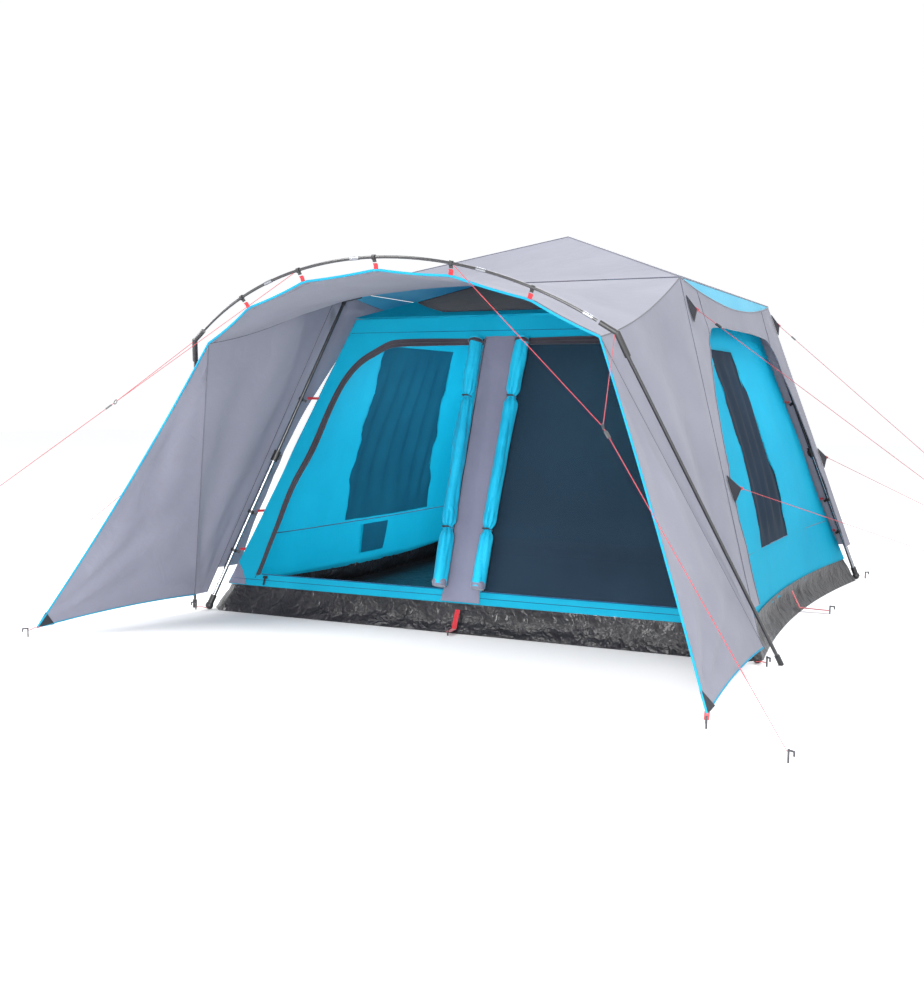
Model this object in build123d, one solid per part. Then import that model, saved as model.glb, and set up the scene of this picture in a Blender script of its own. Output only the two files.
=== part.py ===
from build123d import *
import math
import os

os.makedirs("parts", exist_ok=True)

# Family cabin tent with an instant frame. Millimetres, +Z up, the front faces -Y.

# ---- driving dimensions -------------------------------------------------
BASE_X, BASE_Y = 1500, 1518          # half size of the groundsheet at the ground
SILL_H = 140                         # height of the groundsheet's raised edge
SILL_X, SILL_Y = 1430, 1448          # half size at the top of that edge
CORNER_CUT = 80                      # the groundsheet's drawn-in corners
WALL_TOP = 1600                      # top of the inner walls
WALL_X, WALL_Y = 935, 900            # half size at the top of the inner walls
FLY_X, FLY_Y, FLY_Z = 963, 1019, 1754    # shoulders of the flysheet
APEX_Z = 2115                        # top of the flysheet
FLY_HEM_Z = 230                      # bottom hem of the flysheet
FLY_FOOT_X, FLY_FOOT_Y = 1526, 1545  # where the flysheet's planes meet the ground
CLOTH = 3                            # stand-in thickness of cloth
FOOT = (1490, 1508, 22)              # centre of a leg's ball foot
ELBOW = (930, 985, 1716)             # joint between leg and roof pole
HUB_Z = 2052
LOWER_R, LOWER_BORE, UPPER_R = 12.5, 10.5, 9.0
COLLAR_AT = 900                      # collar's distance from the foot along the leg
UPPER_END = 770                      # where the thin tube ends inside the thick one
ARCH_Y, ARCH_LEAN = -1500, 0.493     # plane of the porch arch: y = ARCH_Y - ARCH_LEAN * z
ARCH_FOOT_X = 1594
ARCH_ELBOW_X, ARCH_ELBOW_S = 1035, 1590
ARCH_R = 1660                        # radius of the curved porch pole
ARCH_POLE_R = 6.5
ELBOW_ANGLE = 36.5                   # where the curved pole enters its elbows
PANEL_GAP = 0.5                      # between neighbouring roof panels, at the sewn ridges
WING_TIPS = {-1: (-1735, -2545, 42), 1: (1560, -2672, 42)}
CORD_D = 3.0

CORNERS = {"fl": (-1, -1), "fr": (1, -1), "rl": (-1, 1), "rr": (1, 1)}
LEAN = math.hypot(1, ARCH_LEAN)
ARCH_CENTRE_S = 1948 - ARCH_R


# ---- helpers ------------------------------------------------------------
def save(name, *solids):
    """One node: a single solid, or a group of separate ones."""
    shape = solids[0] if len(solids) == 1 else Compound(children=list(solids))
    shape.label = name
    export_step(shape, f"parts/{name}.step")


def lerp(a, b, t):
    return tuple(p + (q - p) * t for p, q in zip(a, b))


def polygon(points):
    return Face(Wire.make_polygon([Vector(*p) for p in points], close=True))


def panel(points, thick=CLOTH):
    """Flat cloth: a polygon given a thickness against its own normal."""
    face = polygon(points)
    return extrude(face, amount=-thick)


def web(edge_a, edge_b, thick=CLOTH):
    """Cloth stretched between two edges."""
    face = Face.make_surface_from_curves(edge_a, edge_b)
    return Solid.thicken(face, thick)


def tube(start, end, radius, bore=0):
    """Straight round tube between two points."""
    a, b = Vector(*start), Vector(*end)
    plane = Plane(origin=a, z_dir=(b - a))
    body = extrude(plane * Circle(radius), amount=(b - a).length)
    if bore:
        body -= extrude(plane * Circle(bore), amount=(b - a).length)
    return body.solid() if hasattr(body, "solid") else body


def slab(centre, along, across, sizes):
    """Rectangular block turned to the direction along, with across sideways."""
    plane = Plane(origin=Vector(*centre), x_dir=Vector(*across), z_dir=Vector(*along))
    return (plane * Box(*sizes)).solid()


def arch_point(x, s, forward=0.0):
    """Point of the leaning arch plane, s measured up the slope from the ground."""
    return (x, ARCH_Y - s * ARCH_LEAN / LEAN - forward, s / LEAN)


def arch_arc_point(angle_deg, radius=ARCH_R, forward=0.0):
    a = math.radians(angle_deg)
    return arch_point(radius * math.sin(a), ARCH_CENTRE_S + radius * math.cos(a), forward)


def arc_edge(radius, a0, a1, forward=0.0):
    return Edge.make_three_point_arc(
        Vector(*arch_arc_point(a0, radius, forward)),
        Vector(*arch_arc_point((a0 + a1) / 2, radius, forward)),
        Vector(*arch_arc_point(a1, radius, forward)),
    )


def front_wall(x, z, out=0.0):
    """Point of the inner front wall's outer face."""
    slope = (SILL_Y - WALL_Y) / (WALL_TOP - SILL_H)
    return (x, -(SILL_Y - slope * (z - SILL_H)) - out, z)


def side_wall(y, z, side, out=0.0):
    slope = (SILL_X - WALL_X) / (WALL_TOP - SILL_H)
    return (side * (SILL_X - slope * (z - SILL_H) + out), y, z)


def fly_side(y, z, side, out=0.0):
    slope = (FLY_FOOT_X - FLY_X) / FLY_Z
    return (side * (FLY_FOOT_X - slope * z + out), y, z)


def fly_corner_y(z):
    return FLY_FOOT_Y - (FLY_FOOT_Y - FLY_Y) / FLY_Z * z


def leg_point(corner, distance):
    sx, sy = CORNERS[corner]
    length = math.dist(FOOT, ELBOW)
    x, y, z = lerp(FOOT, ELBOW, distance / length)
    return (sx * x, sy * y, z)


LEG_LENGTH = math.dist(FOOT, ELBOW)

# ---- groundsheet ---------------------------------------------------------


def octagon(half_x, half_y, cut, z):
    quarter = [(half_x - cut, half_y), (half_x, half_y - cut)]
    points = [(x, y) for x, y in quarter]
    points += [(x, -y) for x, y in reversed(quarter)]
    points += [(-x, -y) for x, y in quarter]
    points += [(-x, y) for x, y in reversed(quarter)]
    return polygon([(x, y, z) for x, y in points])


tray = loft([octagon(BASE_X, BASE_Y, CORNER_CUT, 0), octagon(SILL_X, SILL_Y, CORNER_CUT, SILL_H)])
hollow = loft(
    [
        octagon(BASE_X - 4, BASE_Y - 4, CORNER_CUT, 3),
        octagon(SILL_X - 4, SILL_Y - 4, CORNER_CUT, SILL_H + 1),
    ]
)
groundsheet = (tray - hollow).solid()
save("groundsheet", groundsheet)

# ---- inner tent ----------------------------------------------------------
DOOR_INNER_X, DOOR_TOP_Z, DOOR_BOTTOM_Z = 105, 1448, 205
DOOR_OUTLINE = [(1215, 205), (1160, 430), (1105, 690), (1020, 860), (960, 1126), (880, 1314), (700, 1430)]
GAP = 3
EDGE = 22


def front_outline(z0, z1, grow=0.0):
    """Trapezium between the inner corners, from z0 up to z1."""
    slope = (SILL_X - WALL_X) / (WALL_TOP - SILL_H)
    half = [SILL_X - slope * (z - SILL_H) - EDGE + grow for z in (z0, z1)]
    return [(-half[0], z0), (half[0], z0), (half[1], z1), (-half[1], z1)]


def wall_panel(points, place, thick=CLOTH):
    """Cloth lying in one wall's plane, from (u, z) points; thickness goes inwards."""
    face = polygon([place(u, z) for u, z in points])
    centre = face.center()
    normal = face.normal_at(centre)
    outward = Vector(centre.X, centre.Y, 0)
    amount = -thick if normal.dot(outward) > 0 else thick
    return extrude(face, amount=amount).solid()


def prism(points, place, depth=60):
    """Cutter through a wall at the outline given by (u, z) points."""
    face = polygon([place(u, z) for u, z in points])
    normal = face.normal_at(face.center())
    return extrude(face.moved(Location(normal * -depth)), amount=2 * depth).solid()


def door_points(side, inset=0.0):
    outer = [(side * (x - inset), z) for x, z in DOOR_OUTLINE]
    outer[0] = (outer[0][0], DOOR_BOTTOM_Z + inset)
    inner_x = side * (DOOR_INNER_X + inset)
    top_z, bottom_z = DOOR_TOP_Z - inset, DOOR_BOTTOM_Z + inset
    return [*outer, (side * 620, top_z), (inner_x, top_z), (inner_x, bottom_z)]


front = wall_panel(front_outline(SILL_H + GAP, WALL_TOP - GAP), front_wall)
for side in (-1, 1):
    front -= prism(door_points(side), front_wall)
save("inner_front_wall", front.solid())

# Window openings of each side wall: (y from, y to, z) at the bottom, then at the top.
WINDOWS = {
    -1: ((-400, 700, 440), (-450, 450, 1460)),
    1: ((-500, 228, 415), (-500, -30, 1432)),
}


def window_points(side, grow=0.0):
    (a, b, z0), (c, d, z1) = WINDOWS[side]
    low = [(a - grow, z0 - grow), (b + grow, z0 - grow)]
    return low + [(d + grow, z1 + grow), (c - grow, z1 + grow)]


def side_outline(z0, z1):
    slope = (SILL_Y - WALL_Y) / (WALL_TOP - SILL_H)
    half = [SILL_Y - slope * (z - SILL_H) - EDGE for z in (z0, z1)]
    return [(-half[0], z0), (half[0], z0), (half[1], z1), (-half[1], z1)]


window_meshes = []
for side, word in ((-1, "left"), (1, "right")):
    def place(y, z, s=side):
        return side_wall(y, z, s)

    wall = wall_panel(side_outline(SILL_H + GAP, WALL_TOP - GAP), place)
    wall -= prism(window_points(side), place)
    save(f"inner_{word}_wall", wall.solid())
    window_meshes.append(wall_panel(window_points(side, -1.5), place, 2))
save("window_meshes", *window_meshes)


def rear_wall(x, z):
    p = front_wall(x, z)
    return (x, -p[1], z)


save("inner_rear_wall", wall_panel(front_outline(SILL_H + GAP, WALL_TOP - GAP), rear_wall))
save("door_mesh", wall_panel(door_points(1, 2.0), front_wall, 2))

CENTRE_STRIP = [(-66, 215), (66, 215), (70, 1490), (-66, 1490)]
save("centre_strip", wall_panel([(x, z) for x, z in CENTRE_STRIP], lambda x, z: front_wall(x, z, 5), 2))

# Zip tape: a band around each door opening, on the outside of the wall.
ZIP_W = 34
zips = []
for side in (-1, 1):
    outline = door_points(side)
    shoulder_z = DOOR_OUTLINE[-1][1]
    outer_band = [(x + side * ZIP_W * 0.92, z) for x, z in outline[:6]]
    outer_band += [(side * 715, shoulder_z + ZIP_W), (side * 620, DOOR_TOP_Z + ZIP_W)]
    outer_band += [(side * 180, DOOR_TOP_Z + ZIP_W)]
    inner_band = [(side * 180, DOOR_TOP_Z + 2), (side * 620, DOOR_TOP_Z + 2), (side * 702, shoulder_z + 2)]
    inner_band += [(x + side * 3, z) for x, z in reversed(outline[:6])]
    zips.append(wall_panel(outer_band + inner_band, lambda x, z: front_wall(x, z, 5), 3))
save("door_zip_tapes", *zips)

# One slider on the sill of each door, running sideways along its track.
SLIDER_Z = 190
for side, word in ((-1, "left"), (1, "right")):
    x0 = side * 1170
    body = slab(front_wall(x0, SLIDER_Z, 9), (0, -1, 0.375), (1, 0, 0), (24, 14, 7))
    pull = slab(front_wall(x0, SLIDER_Z - 22, 10.5), (0, -1, 0.375), (1, 0, 0), (10, 40, 3))
    save(f"zip_slider_{word}", (body + pull).solid())

# Rolled-up outer doors, hanging on either side of the strip, each with two ties.
ROLL_R = 42
rolls, ties = [], []
for side in (-1, 1):
    top = front_wall(side * 132, 1478, ROLL_R + 10)
    bottom = front_wall(side * 105, 232, ROLL_R + 12)
    rolls.append(tube(bottom, top, ROLL_R))
    for z in (1170, 508):
        t = (z - 232) / (1478 - 232)
        centre = Vector(*lerp(bottom, top, t))
        axis = (Vector(*top) - Vector(*bottom)).normalized()
        plane = Plane(origin=centre - axis * 6, z_dir=axis)
        band = extrude(plane * (Circle(ROLL_R + 3.5) - Circle(ROLL_R + 0.5)), amount=12)
        toggle = slab(centre + Vector(0, -axis.Z, axis.Y) * (ROLL_R + 8), axis, (1, 0, 0), (44, 11, 9))
        ties.append((band + toggle).solid())
save("door_rolls", *rolls)
save("door_roll_ties", *ties)

# Inner roof: a low pyramid over the walls, with the mesh panel in its front face.
INNER_APEX = (0, 0, 1975)


def ring_points(half_x, half_y, z):
    return [(-half_x, -half_y, z), (half_x, -half_y, z), (half_x, half_y, z), (-half_x, half_y, z)]


def pyramid_panels(half_x, half_y, z, apex_z, thick):
    """Four mitred triangular panels, a hair apart along the ridges where they are sewn."""
    outer = ring_points(half_x, half_y, z)
    shrink = 1 - thick / (apex_z - z)
    inner = [(x * shrink, y * shrink, z) for x, y, _ in outer]
    apex, inner_apex = (0, 0, apex_z), (0, 0, apex_z - thick)
    panels = []
    for i in range(4):
        a, b = outer[i], outer[(i + 1) % 4]
        c, d = inner[(i + 1) % 4], inner[i]
        faces = [
            polygon([a, b, apex]),
            polygon([d, c, inner_apex]),
            polygon([a, b, c, d]),
            polygon([b, c, inner_apex, apex]),
            polygon([d, a, apex, inner_apex]),
        ]
        away = Vector(a[0] + b[0], a[1] + b[1], 0).normalized() * PANEL_GAP
        panels.append(Solid(Shell(faces)).moved(Location(away)))
    return Compound(panels)


inner_roof = pyramid_panels(WALL_X - 6, WALL_Y - 6, WALL_TOP + 6, INNER_APEX[2], 4)
MESH = [(-640, 0.24), (-400, 0.06), (400, 0.06), (640, 0.24), (330, 0.60), (-330, 0.60)]


def inner_roof_point(x, t, lift=0.0):
    base_y, base_z = -(WALL_Y - 6), WALL_TOP + 6
    return (x, base_y * (1 - t) - lift, base_z + (INNER_APEX[2] - base_z) * t + lift)


save("inner_roof", inner_roof)
mesh_face = polygon([inner_roof_point(x, t, 3.0) for x, t in MESH])
roof_mesh = extrude(mesh_face, amount=2 if mesh_face.normal_at(mesh_face.center()).Z > 0 else -2)
save("roof_mesh", roof_mesh.solid())

# ---- flysheet ------------------------------------------------------------
roof = pyramid_panels(FLY_X, FLY_Y, FLY_Z, APEX_Z, 4)
save("fly_roof", roof)

FLY_OPENING = [(-1310, 100), (-1245, 500), (-1090, 1020), (-830, 1400), (-760, 1500), (-640, 1545)]
for side, word in ((-1, "left"), (1, "right")):
    def place(y, z, s=side):
        return fly_side(y, z, s)

    top_z = FLY_Z - 8
    outline = [
        (-fly_corner_y(FLY_HEM_Z) + 8, FLY_HEM_Z),
        (fly_corner_y(FLY_HEM_Z) - 8, FLY_HEM_Z),
        (fly_corner_y(top_z) - 8, top_z),
        (-fly_corner_y(top_z) + 8, top_z),
    ]
    wall = wall_panel(outline, place)
    opening = FLY_OPENING + [(-y, z) for y, z in reversed(FLY_OPENING)]
    wall -= prism(opening, place)
    save(f"fly_{word}_side", wall.solid())


def fly_rear(x, z):
    return (x, fly_corner_y(z), z)


def fly_half_x(z):
    return FLY_FOOT_X - (FLY_FOOT_X - FLY_X) / FLY_Z * z


top_z = FLY_Z - 8
rear_outline = [
    (-fly_half_x(FLY_HEM_Z) + 8, FLY_HEM_Z),
    (fly_half_x(FLY_HEM_Z) - 8, FLY_HEM_Z),
    (fly_half_x(top_z) - 8, top_z),
    (-fly_half_x(top_z) + 8, top_z),
]
save("fly_rear_wall", wall_panel(rear_outline, fly_rear))

# ---- porch ---------------------------------------------------------------
CANOPY_R = 1605
CANOPY_ANGLE = 37
EAVE_Y = FLY_Y + 12
eave = Edge.make_line(Vector(-930, -EAVE_Y, FLY_Z - 4), Vector(930, -EAVE_Y, FLY_Z - 4))
canopy = web(arc_edge(CANOPY_R, -CANOPY_ANGLE, CANOPY_ANGLE), eave)
save("canopy", canopy)

for side, word in ((-1, "left"), (1, "right")):
    elbow = arch_point(side * 985, 1540, 0)
    eave_corner = (side * 948, -EAVE_Y, FLY_Z - 34)
    foot_rear = (side * 1500, -1560, 95)
    foot_front = (side * 1548, -1600, 80)
    save(f"porch_side_{word}", panel([elbow, eave_corner, foot_rear]))
    wing_top = arch_point(side * 995, 1520, 40)
    save(f"wing_{word}", panel([wing_top, WING_TIPS[side], foot_front]))

# ---- porch arch ----------------------------------------------------------
arch_legs, arch_feet, arch_elbows = [], [], []
for side in (-1, 1):
    low = arch_point(side * (ARCH_FOOT_X - 9), 26)
    top = arch_point(side * (ARCH_ELBOW_X + 24), ARCH_ELBOW_S - 68)
    arch_legs.append(tube(low, top, 8))
    shoe_low, shoe_high = arch_point(side * (ARCH_FOOT_X - 1), 3), arch_point(side * (ARCH_FOOT_X - 17), 50)
    arch_feet.append(tube(shoe_low, shoe_high, 12))
    corner_low = arch_point(side * (ARCH_ELBOW_X + 38), ARCH_ELBOW_S - 108)
    corner = arch_point(side * (ARCH_ELBOW_X + 6), ARCH_ELBOW_S - 6)
    corner_high = arch_arc_point(side * (ELBOW_ANGLE - 0.6))
    knee = tube(corner_low, corner, 13) + tube(corner, corner_high, 11) + Pos(*corner) * Sphere(13)
    arch_elbows.append((knee, top, low))
knees = []
for knee, top, low in arch_elbows:
    direction = (Vector(*top) - Vector(*low)).normalized()
    bore = tube(Vector(*top) - direction * 60, Vector(*top) + direction * 1, 8.3)
    knees.append(knee - bore)
arc = arc_edge(ARCH_R, -ELBOW_ANGLE + 1.0, ELBOW_ANGLE - 1.0)
start = arc @ 0
pole = sweep(Plane(origin=start, z_dir=arc % 0) * Circle(ARCH_POLE_R), path=arc)
bore_pole = sweep(Plane(origin=start, z_dir=arc % 0) * Circle(ARCH_POLE_R + 0.3), path=arc)
save("arch_pole", pole.solid())
save("arch_legs", *arch_legs)
feet_cut = []
for side, foot in zip((-1, 1), arch_feet):
    low = arch_point(side * (ARCH_FOOT_X - 9), 26)
    high = arch_point(side * (ARCH_ELBOW_X + 24), ARCH_ELBOW_S - 68)
    direction = (Vector(*high) - Vector(*low)).normalized()
    cutter = tube(Vector(*low) - direction * 0.5, Vector(*low) + direction * 60, 8.3)
    ground = Pos(0, 0, -100) * Box(8000, 8000, 200)
    feet_cut.append((foot - cutter - ground).solid())
save("arch_fittings", *[(k - bore_pole).solid() for k in knees], *feet_cut)

FERRULES = [-19.0, -2.6, 17.5, 34.0]
ferrules = []
for angle in FERRULES:
    edge = arc_edge(ARCH_R, angle - 0.75, angle + 0.75)
    frame = Plane(origin=edge @ 0, z_dir=edge % 0)
    ring = sweep(frame * (Circle(ARCH_POLE_R + 1.4) - Circle(ARCH_POLE_R + 0.2)), path=edge)
    ferrules.append(ring.solid())
save("arch_ferrules", *ferrules)

TIES = [-25.2, -12.9, 0.6, 12.9, 25.4]
hooks, tabs = [], []
for angle in TIES:
    centre = Vector(*arch_arc_point(angle))
    below = Vector(*arch_arc_point(angle, CANOPY_R + 9))
    down = (below - centre).normalized()
    along = Vector(*arch_arc_point(angle + 0.5)) - centre
    along = along.normalized()
    frame = Plane(origin=centre - along * 8, z_dir=along)
    ring = extrude(frame * (Circle(ARCH_POLE_R + 4) - Circle(ARCH_POLE_R + 0.4)), amount=16)
    stem = slab(centre + down * 15.5, down, along, (16, 5, 12))
    hooks.append((ring + stem).solid())
    tabs.append(slab(centre + down * 35.5, down, along, (18, 2.5, 27)))
save("arch_hooks", *hooks)

# ---- frame ----------------------------------------------------------------
for corner, (sx, sy) in CORNERS.items():
    lower = tube(leg_point(corner, 14), leg_point(corner, COLLAR_AT - 10), LOWER_R, LOWER_BORE)
    save(f"lower_leg_{corner}", lower)
    base = Vector(*leg_point(corner, 0))
    direction = (Vector(*leg_point(corner, LEG_LENGTH)) - base).normalized()
    sideways = direction.cross(Vector(0, 0, 1)).normalized()
    # Ball foot with a plug in the tube and a pin eye, and the clamp collar at the top.
    ball = Pos(*base) * Sphere(22)
    plug_hole = tube(base + direction * 13.5, base + direction * 63, LOWER_R + 0.2)
    cuff = tube(base, base + direction * 62, 17) - plug_hole
    foot = (ball - plug_hole) + cuff
    collar_base = base + direction * (COLLAR_AT - 34)
    collar = tube(collar_base, collar_base + direction * 60, 19)
    collar -= tube(collar_base - direction * 1, collar_base + direction * 25, LOWER_R + 0.2)
    collar -= tube(collar_base + direction * 20, collar_base + direction * 61, UPPER_R + 0.5)
    inward = Vector(-sx, -sy, 0).normalized()
    inward = (inward - direction * inward.dot(direction)).normalized()
    collar += slab(collar_base + direction * 30 + inward * 21, direction, inward, (10, 14, 34))
    # Snap clips on the inner's corner seam; the upper leg slides through the top one.
    clips = []
    for distance, radius in ((330, LOWER_R), (560, LOWER_R), (1240, UPPER_R)):
        at = base + direction * distance
        frame = Plane(origin=at - direction * 9, z_dir=direction)
        ring = extrude(frame * (Circle(radius + 4.5) - Circle(radius + 0.3)), amount=18)
        arm = slab(at + inward * (radius + 13.5), inward, direction, (14, 8, 20))
        clips.append((ring + arm).solid())
    save(f"leg_fittings_{corner}", foot.solid(), collar.solid(), *clips)

    thin = tube(leg_point(corner, UPPER_END), leg_point(corner, LEG_LENGTH - 18), UPPER_R)
    eye_axis = sideways
    top = Vector(*leg_point(corner, LEG_LENGTH))
    eye = tube(top - eye_axis * 11, top + eye_axis * 11, 17)
    neck = tube(top - direction * 50, top, 12)
    neck -= tube(top - direction * 51, top - direction * 17.6, UPPER_R + 0.15)
    save(f"upper_leg_{corner}", thin, (eye + neck).solid())

elbows, poles = [], []
for corner, (sx, sy) in CORNERS.items():
    top = Vector(*leg_point(corner, LEG_LENGTH))
    base = Vector(*leg_point(corner, 0))
    direction = (top - base).normalized()
    sideways = direction.cross(Vector(0, 0, 1)).normalized()
    hub_end = Vector(0, 0, HUB_Z)
    roof_dir = (hub_end - top).normalized()
    in_dir = (roof_dir - sideways * roof_dir.dot(sideways)).normalized()
    cheeks = None
    for s in (-1, 1):
        plate = slab(top + in_dir * 32 + sideways * (s * 16), in_dir, sideways, (7, 50, 100))
        cheeks = plate if cheeks is None else cheeks + plate
    bridge = slab(top + in_dir * 72, in_dir, sideways, (39, 40, 22))
    socket = tube(top + roof_dir * 62, top + roof_dir * 130, 15)
    socket_bore = tube(top + roof_dir * 80, top + roof_dir * 131, 10.3)
    elbows.append(((cheeks + bridge + socket) - socket_bore).solid())
    poles.append(tube(top + roof_dir * 80.5, hub_end - roof_dir * 52, 10))
save("frame_elbows", *elbows)
save("roof_poles", *poles)

hub = Pos(0, 0, HUB_Z - 4) * Cylinder(46, 34)
for sx, sy in CORNERS.values():
    away = (Vector(sx * ELBOW[0], sy * ELBOW[1], ELBOW[2]) - Vector(0, 0, HUB_Z)).normalized()
    socket = tube(Vector(0, 0, HUB_Z) + away * 20, Vector(0, 0, HUB_Z) + away * 92, 15)
    hub += socket
for sx, sy in CORNERS.values():
    away = (Vector(sx * ELBOW[0], sy * ELBOW[1], ELBOW[2]) - Vector(0, 0, HUB_Z)).normalized()
    hub -= tube(Vector(0, 0, HUB_Z) + away * 51.5, Vector(0, 0, HUB_Z) + away * 93, 10.3)
ring = Pos(0, 0, HUB_Z - 38) * Rot(90, 0, 0) * Torus(15, 3)
hub += ring
save("roof_hub", hub.solid())

# ---- webbing, patches, pegs and cords --------------------------------------
PULLOUTS = {
    "side_fl": ((-1030, -950, 1600), (-2100, -2680)),
    "side_fr": ((1030, -950, 1600), (2800, 1200)),
    "side_rl": ((-1020, 1100, 1640), (-2300, 1500)),
    "side_rr": ((1020, 1100, 1640), (2800, 1550)),
    "mid_fl": ((-1320, -1170, 750), (-2380, -2420)),
    "mid_fr": ((1320, -1170, 750), (2790, 890)),
    "mid_rl": ((-1290, 1420, 800), (-2300, 2000)),
    "mid_rr": ((1290, 1420, 800), (2750, 2100)),
}
PEG_R, PEG_H, HOLD_Z = 4, 46, 30
RUNNER_AT = {"side_fl": 150, "side_fr": 150, "side_rl": 120, "side_rr": 120}


def line_between(start, end, trim_start, trim_end):
    a, b = Vector(*start), Vector(*end)
    d = (b - a).normalized()
    return tube(a + d * trim_start, b - d * trim_end, CORD_D / 2), d


def runner(at, along):
    """Flat line tensioner with the cord passing through its hole."""
    sideways = along.cross(Vector(0, 0, 1)).normalized()
    body = slab(at, along, sideways, (14, 8, 34))
    hole = tube(at - along * 20, at + along * 20, CORD_D / 2 + 0.4)
    return (body - hole).solid()


def peg(x, y, towards):
    """Head of a ground peg: a pin with a hook turned away from the load."""
    away = Vector(x - towards[0], y - towards[1], 0).normalized()
    pin = tube((x, y, 0), (x, y, PEG_H), PEG_R)
    top = Vector(x, y, PEG_H - PEG_R)
    hook = tube(top, top + away * 24, PEG_R)
    tip = tube(top + away * 24, top + away * 24 - Vector(0, 0, 16), PEG_R)
    return (pin + hook + tip + Pos(*(top + away * 24)) * Sphere(PEG_R)).solid()


patches, pegs, side_guys, mid_guys = [], [], [], []
for name, (tip, (px, py)) in PULLOUTS.items():
    side = 1 if tip[0] > 0 else -1
    high, low = tip[2] + 62, tip[2] - 62
    if tip[1] < 0:
        base_high = fly_side(tip[1] - 84, high, side, 6)
        base_low = fly_side(tip[1] - 74, low, side, 6)
    else:
        base_high = fly_side(fly_corner_y(high) - 14, high, side, 6)
        base_low = fly_side(fly_corner_y(low) - 14, low, side, 6)
    patches.append(panel([tip, base_high, base_low], 2))
    peg_hold = (px, py, HOLD_Z)
    guy, along = line_between(tip, peg_hold, 10, PEG_R + 4)
    pegs.append(peg(px, py, tip))
    if name.startswith("side"):
        side_guys.append(guy)
        save(f"runner_{name[5:]}", runner(Vector(*tip) + along * RUNNER_AT[name], along))
    else:
        mid_guys.append(guy)
save("pullout_patches", *patches)
save("guys_side", *side_guys)
save("guys_mid", *mid_guys)

YOKES = {
    "left": {"arc": -13.6, "elbow": -1, "ring": (-1508, -2222, 1129), "peg": (-2650, -3150)},
    "right": {"arc": 13.6, "elbow": 1, "ring": (1093, -2505, 1053), "peg": (1909, -3010)},
}
yokes = []
for word, y in YOKES.items():
    ring_at = y["ring"]
    tie = arch_arc_point(y["arc"], ARCH_R - 10, 14)
    shoulder = arch_point(y["elbow"] * (ARCH_ELBOW_X + 2), ARCH_ELBOW_S - 14, 22)
    yokes.append(line_between(tie, ring_at, 0, 12)[0])
    yokes.append(line_between(shoulder, ring_at, 0, 12)[0])
    hold = (*y["peg"], HOLD_Z)
    guy, along = line_between(ring_at, hold, 12, PEG_R + 4)
    save(f"guy_front_{word}", guy)
    save(f"runner_front_{word}", runner(Vector(*ring_at) + along * 40, along))
    facing = Plane(origin=(0, 0, 0), z_dir=along).location * Rot(90, 0, 0)
    yokes.append((Pos(*ring_at) * facing * Torus(9, 2)).solid())
    pegs.append(peg(*y["peg"], ring_at))
save("guy_yokes", *yokes)

# Pegs at the porch wings, the feet and the middle of each groundsheet edge.
WING_PEGS = {-1: (-1760, -2579), 1: (1570, -2720)}
loops = []


def loop(start, end, width=20):
    """Short flat strap between two points, held clear of both."""
    a, b = Vector(*start), Vector(*end)
    d = (b - a).normalized()
    sideways = d.cross(Vector(0, 0, 1)).normalized()
    return slab((a + b) / 2, d, sideways, (width, 2, (b - a).length))


for side, (px, py) in WING_PEGS.items():
    pegs.append(peg(px, py, WING_TIPS[side]))
    a, b = Vector(*WING_TIPS[side]), Vector(px, py, HOLD_Z)
    d = (b - a).normalized()
    loops.append(loop(a + d * 5, b - d * (PEG_R + 4)))
for sx, sy in CORNERS.values():
    px, py = sx * (FOOT[0] + 52), sy * (FOOT[1] + 52)
    pegs.append(peg(px, py, (0, 0)))
    at_corner, at_peg = (sx * (BASE_X - 8), sy * (BASE_Y + 24), 12), (px - sx * 3, py - sy * 9, 16)
    loops.append(loop(at_corner, at_peg, 12))
EDGE_MIDDLES = ((0, -BASE_Y, 0, -1), (0, BASE_Y, 0, 1), (-BASE_X, 0, -1, 0), (BASE_X, 0, 1, 0))
for px, py, dx, dy in EDGE_MIDDLES:
    pegs.append(peg(px + dx * 62, py + dy * 62, (px, py)))
    loops.append(loop((px + dx * 4, py + dy * 4, 16), (px + dx * 56, py + dy * 56, 18), 24))
save("pegs", *pegs)
save("webbing", *tabs, *loops)
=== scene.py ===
import math

import bpy
from mathutils import Matrix, Vector, noise
from mathutils.geometry import delaunay_2d_cdt


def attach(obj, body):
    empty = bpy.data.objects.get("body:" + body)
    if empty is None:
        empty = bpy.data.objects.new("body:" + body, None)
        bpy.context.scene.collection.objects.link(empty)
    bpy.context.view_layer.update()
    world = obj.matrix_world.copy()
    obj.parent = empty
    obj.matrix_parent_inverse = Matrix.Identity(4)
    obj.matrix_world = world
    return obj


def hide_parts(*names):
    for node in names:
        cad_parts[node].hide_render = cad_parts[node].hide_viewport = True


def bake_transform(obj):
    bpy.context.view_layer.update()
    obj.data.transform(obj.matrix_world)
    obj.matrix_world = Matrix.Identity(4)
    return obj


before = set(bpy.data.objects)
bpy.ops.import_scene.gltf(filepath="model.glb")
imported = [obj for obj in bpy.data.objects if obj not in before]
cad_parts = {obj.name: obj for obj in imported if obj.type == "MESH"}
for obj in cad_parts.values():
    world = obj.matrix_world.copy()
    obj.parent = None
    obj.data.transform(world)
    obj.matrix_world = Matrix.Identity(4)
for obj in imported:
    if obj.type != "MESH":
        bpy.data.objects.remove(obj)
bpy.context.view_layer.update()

scene = bpy.context.scene
scene.view_settings.view_transform = "Standard"
scene.view_settings.exposure = -0.58

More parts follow.
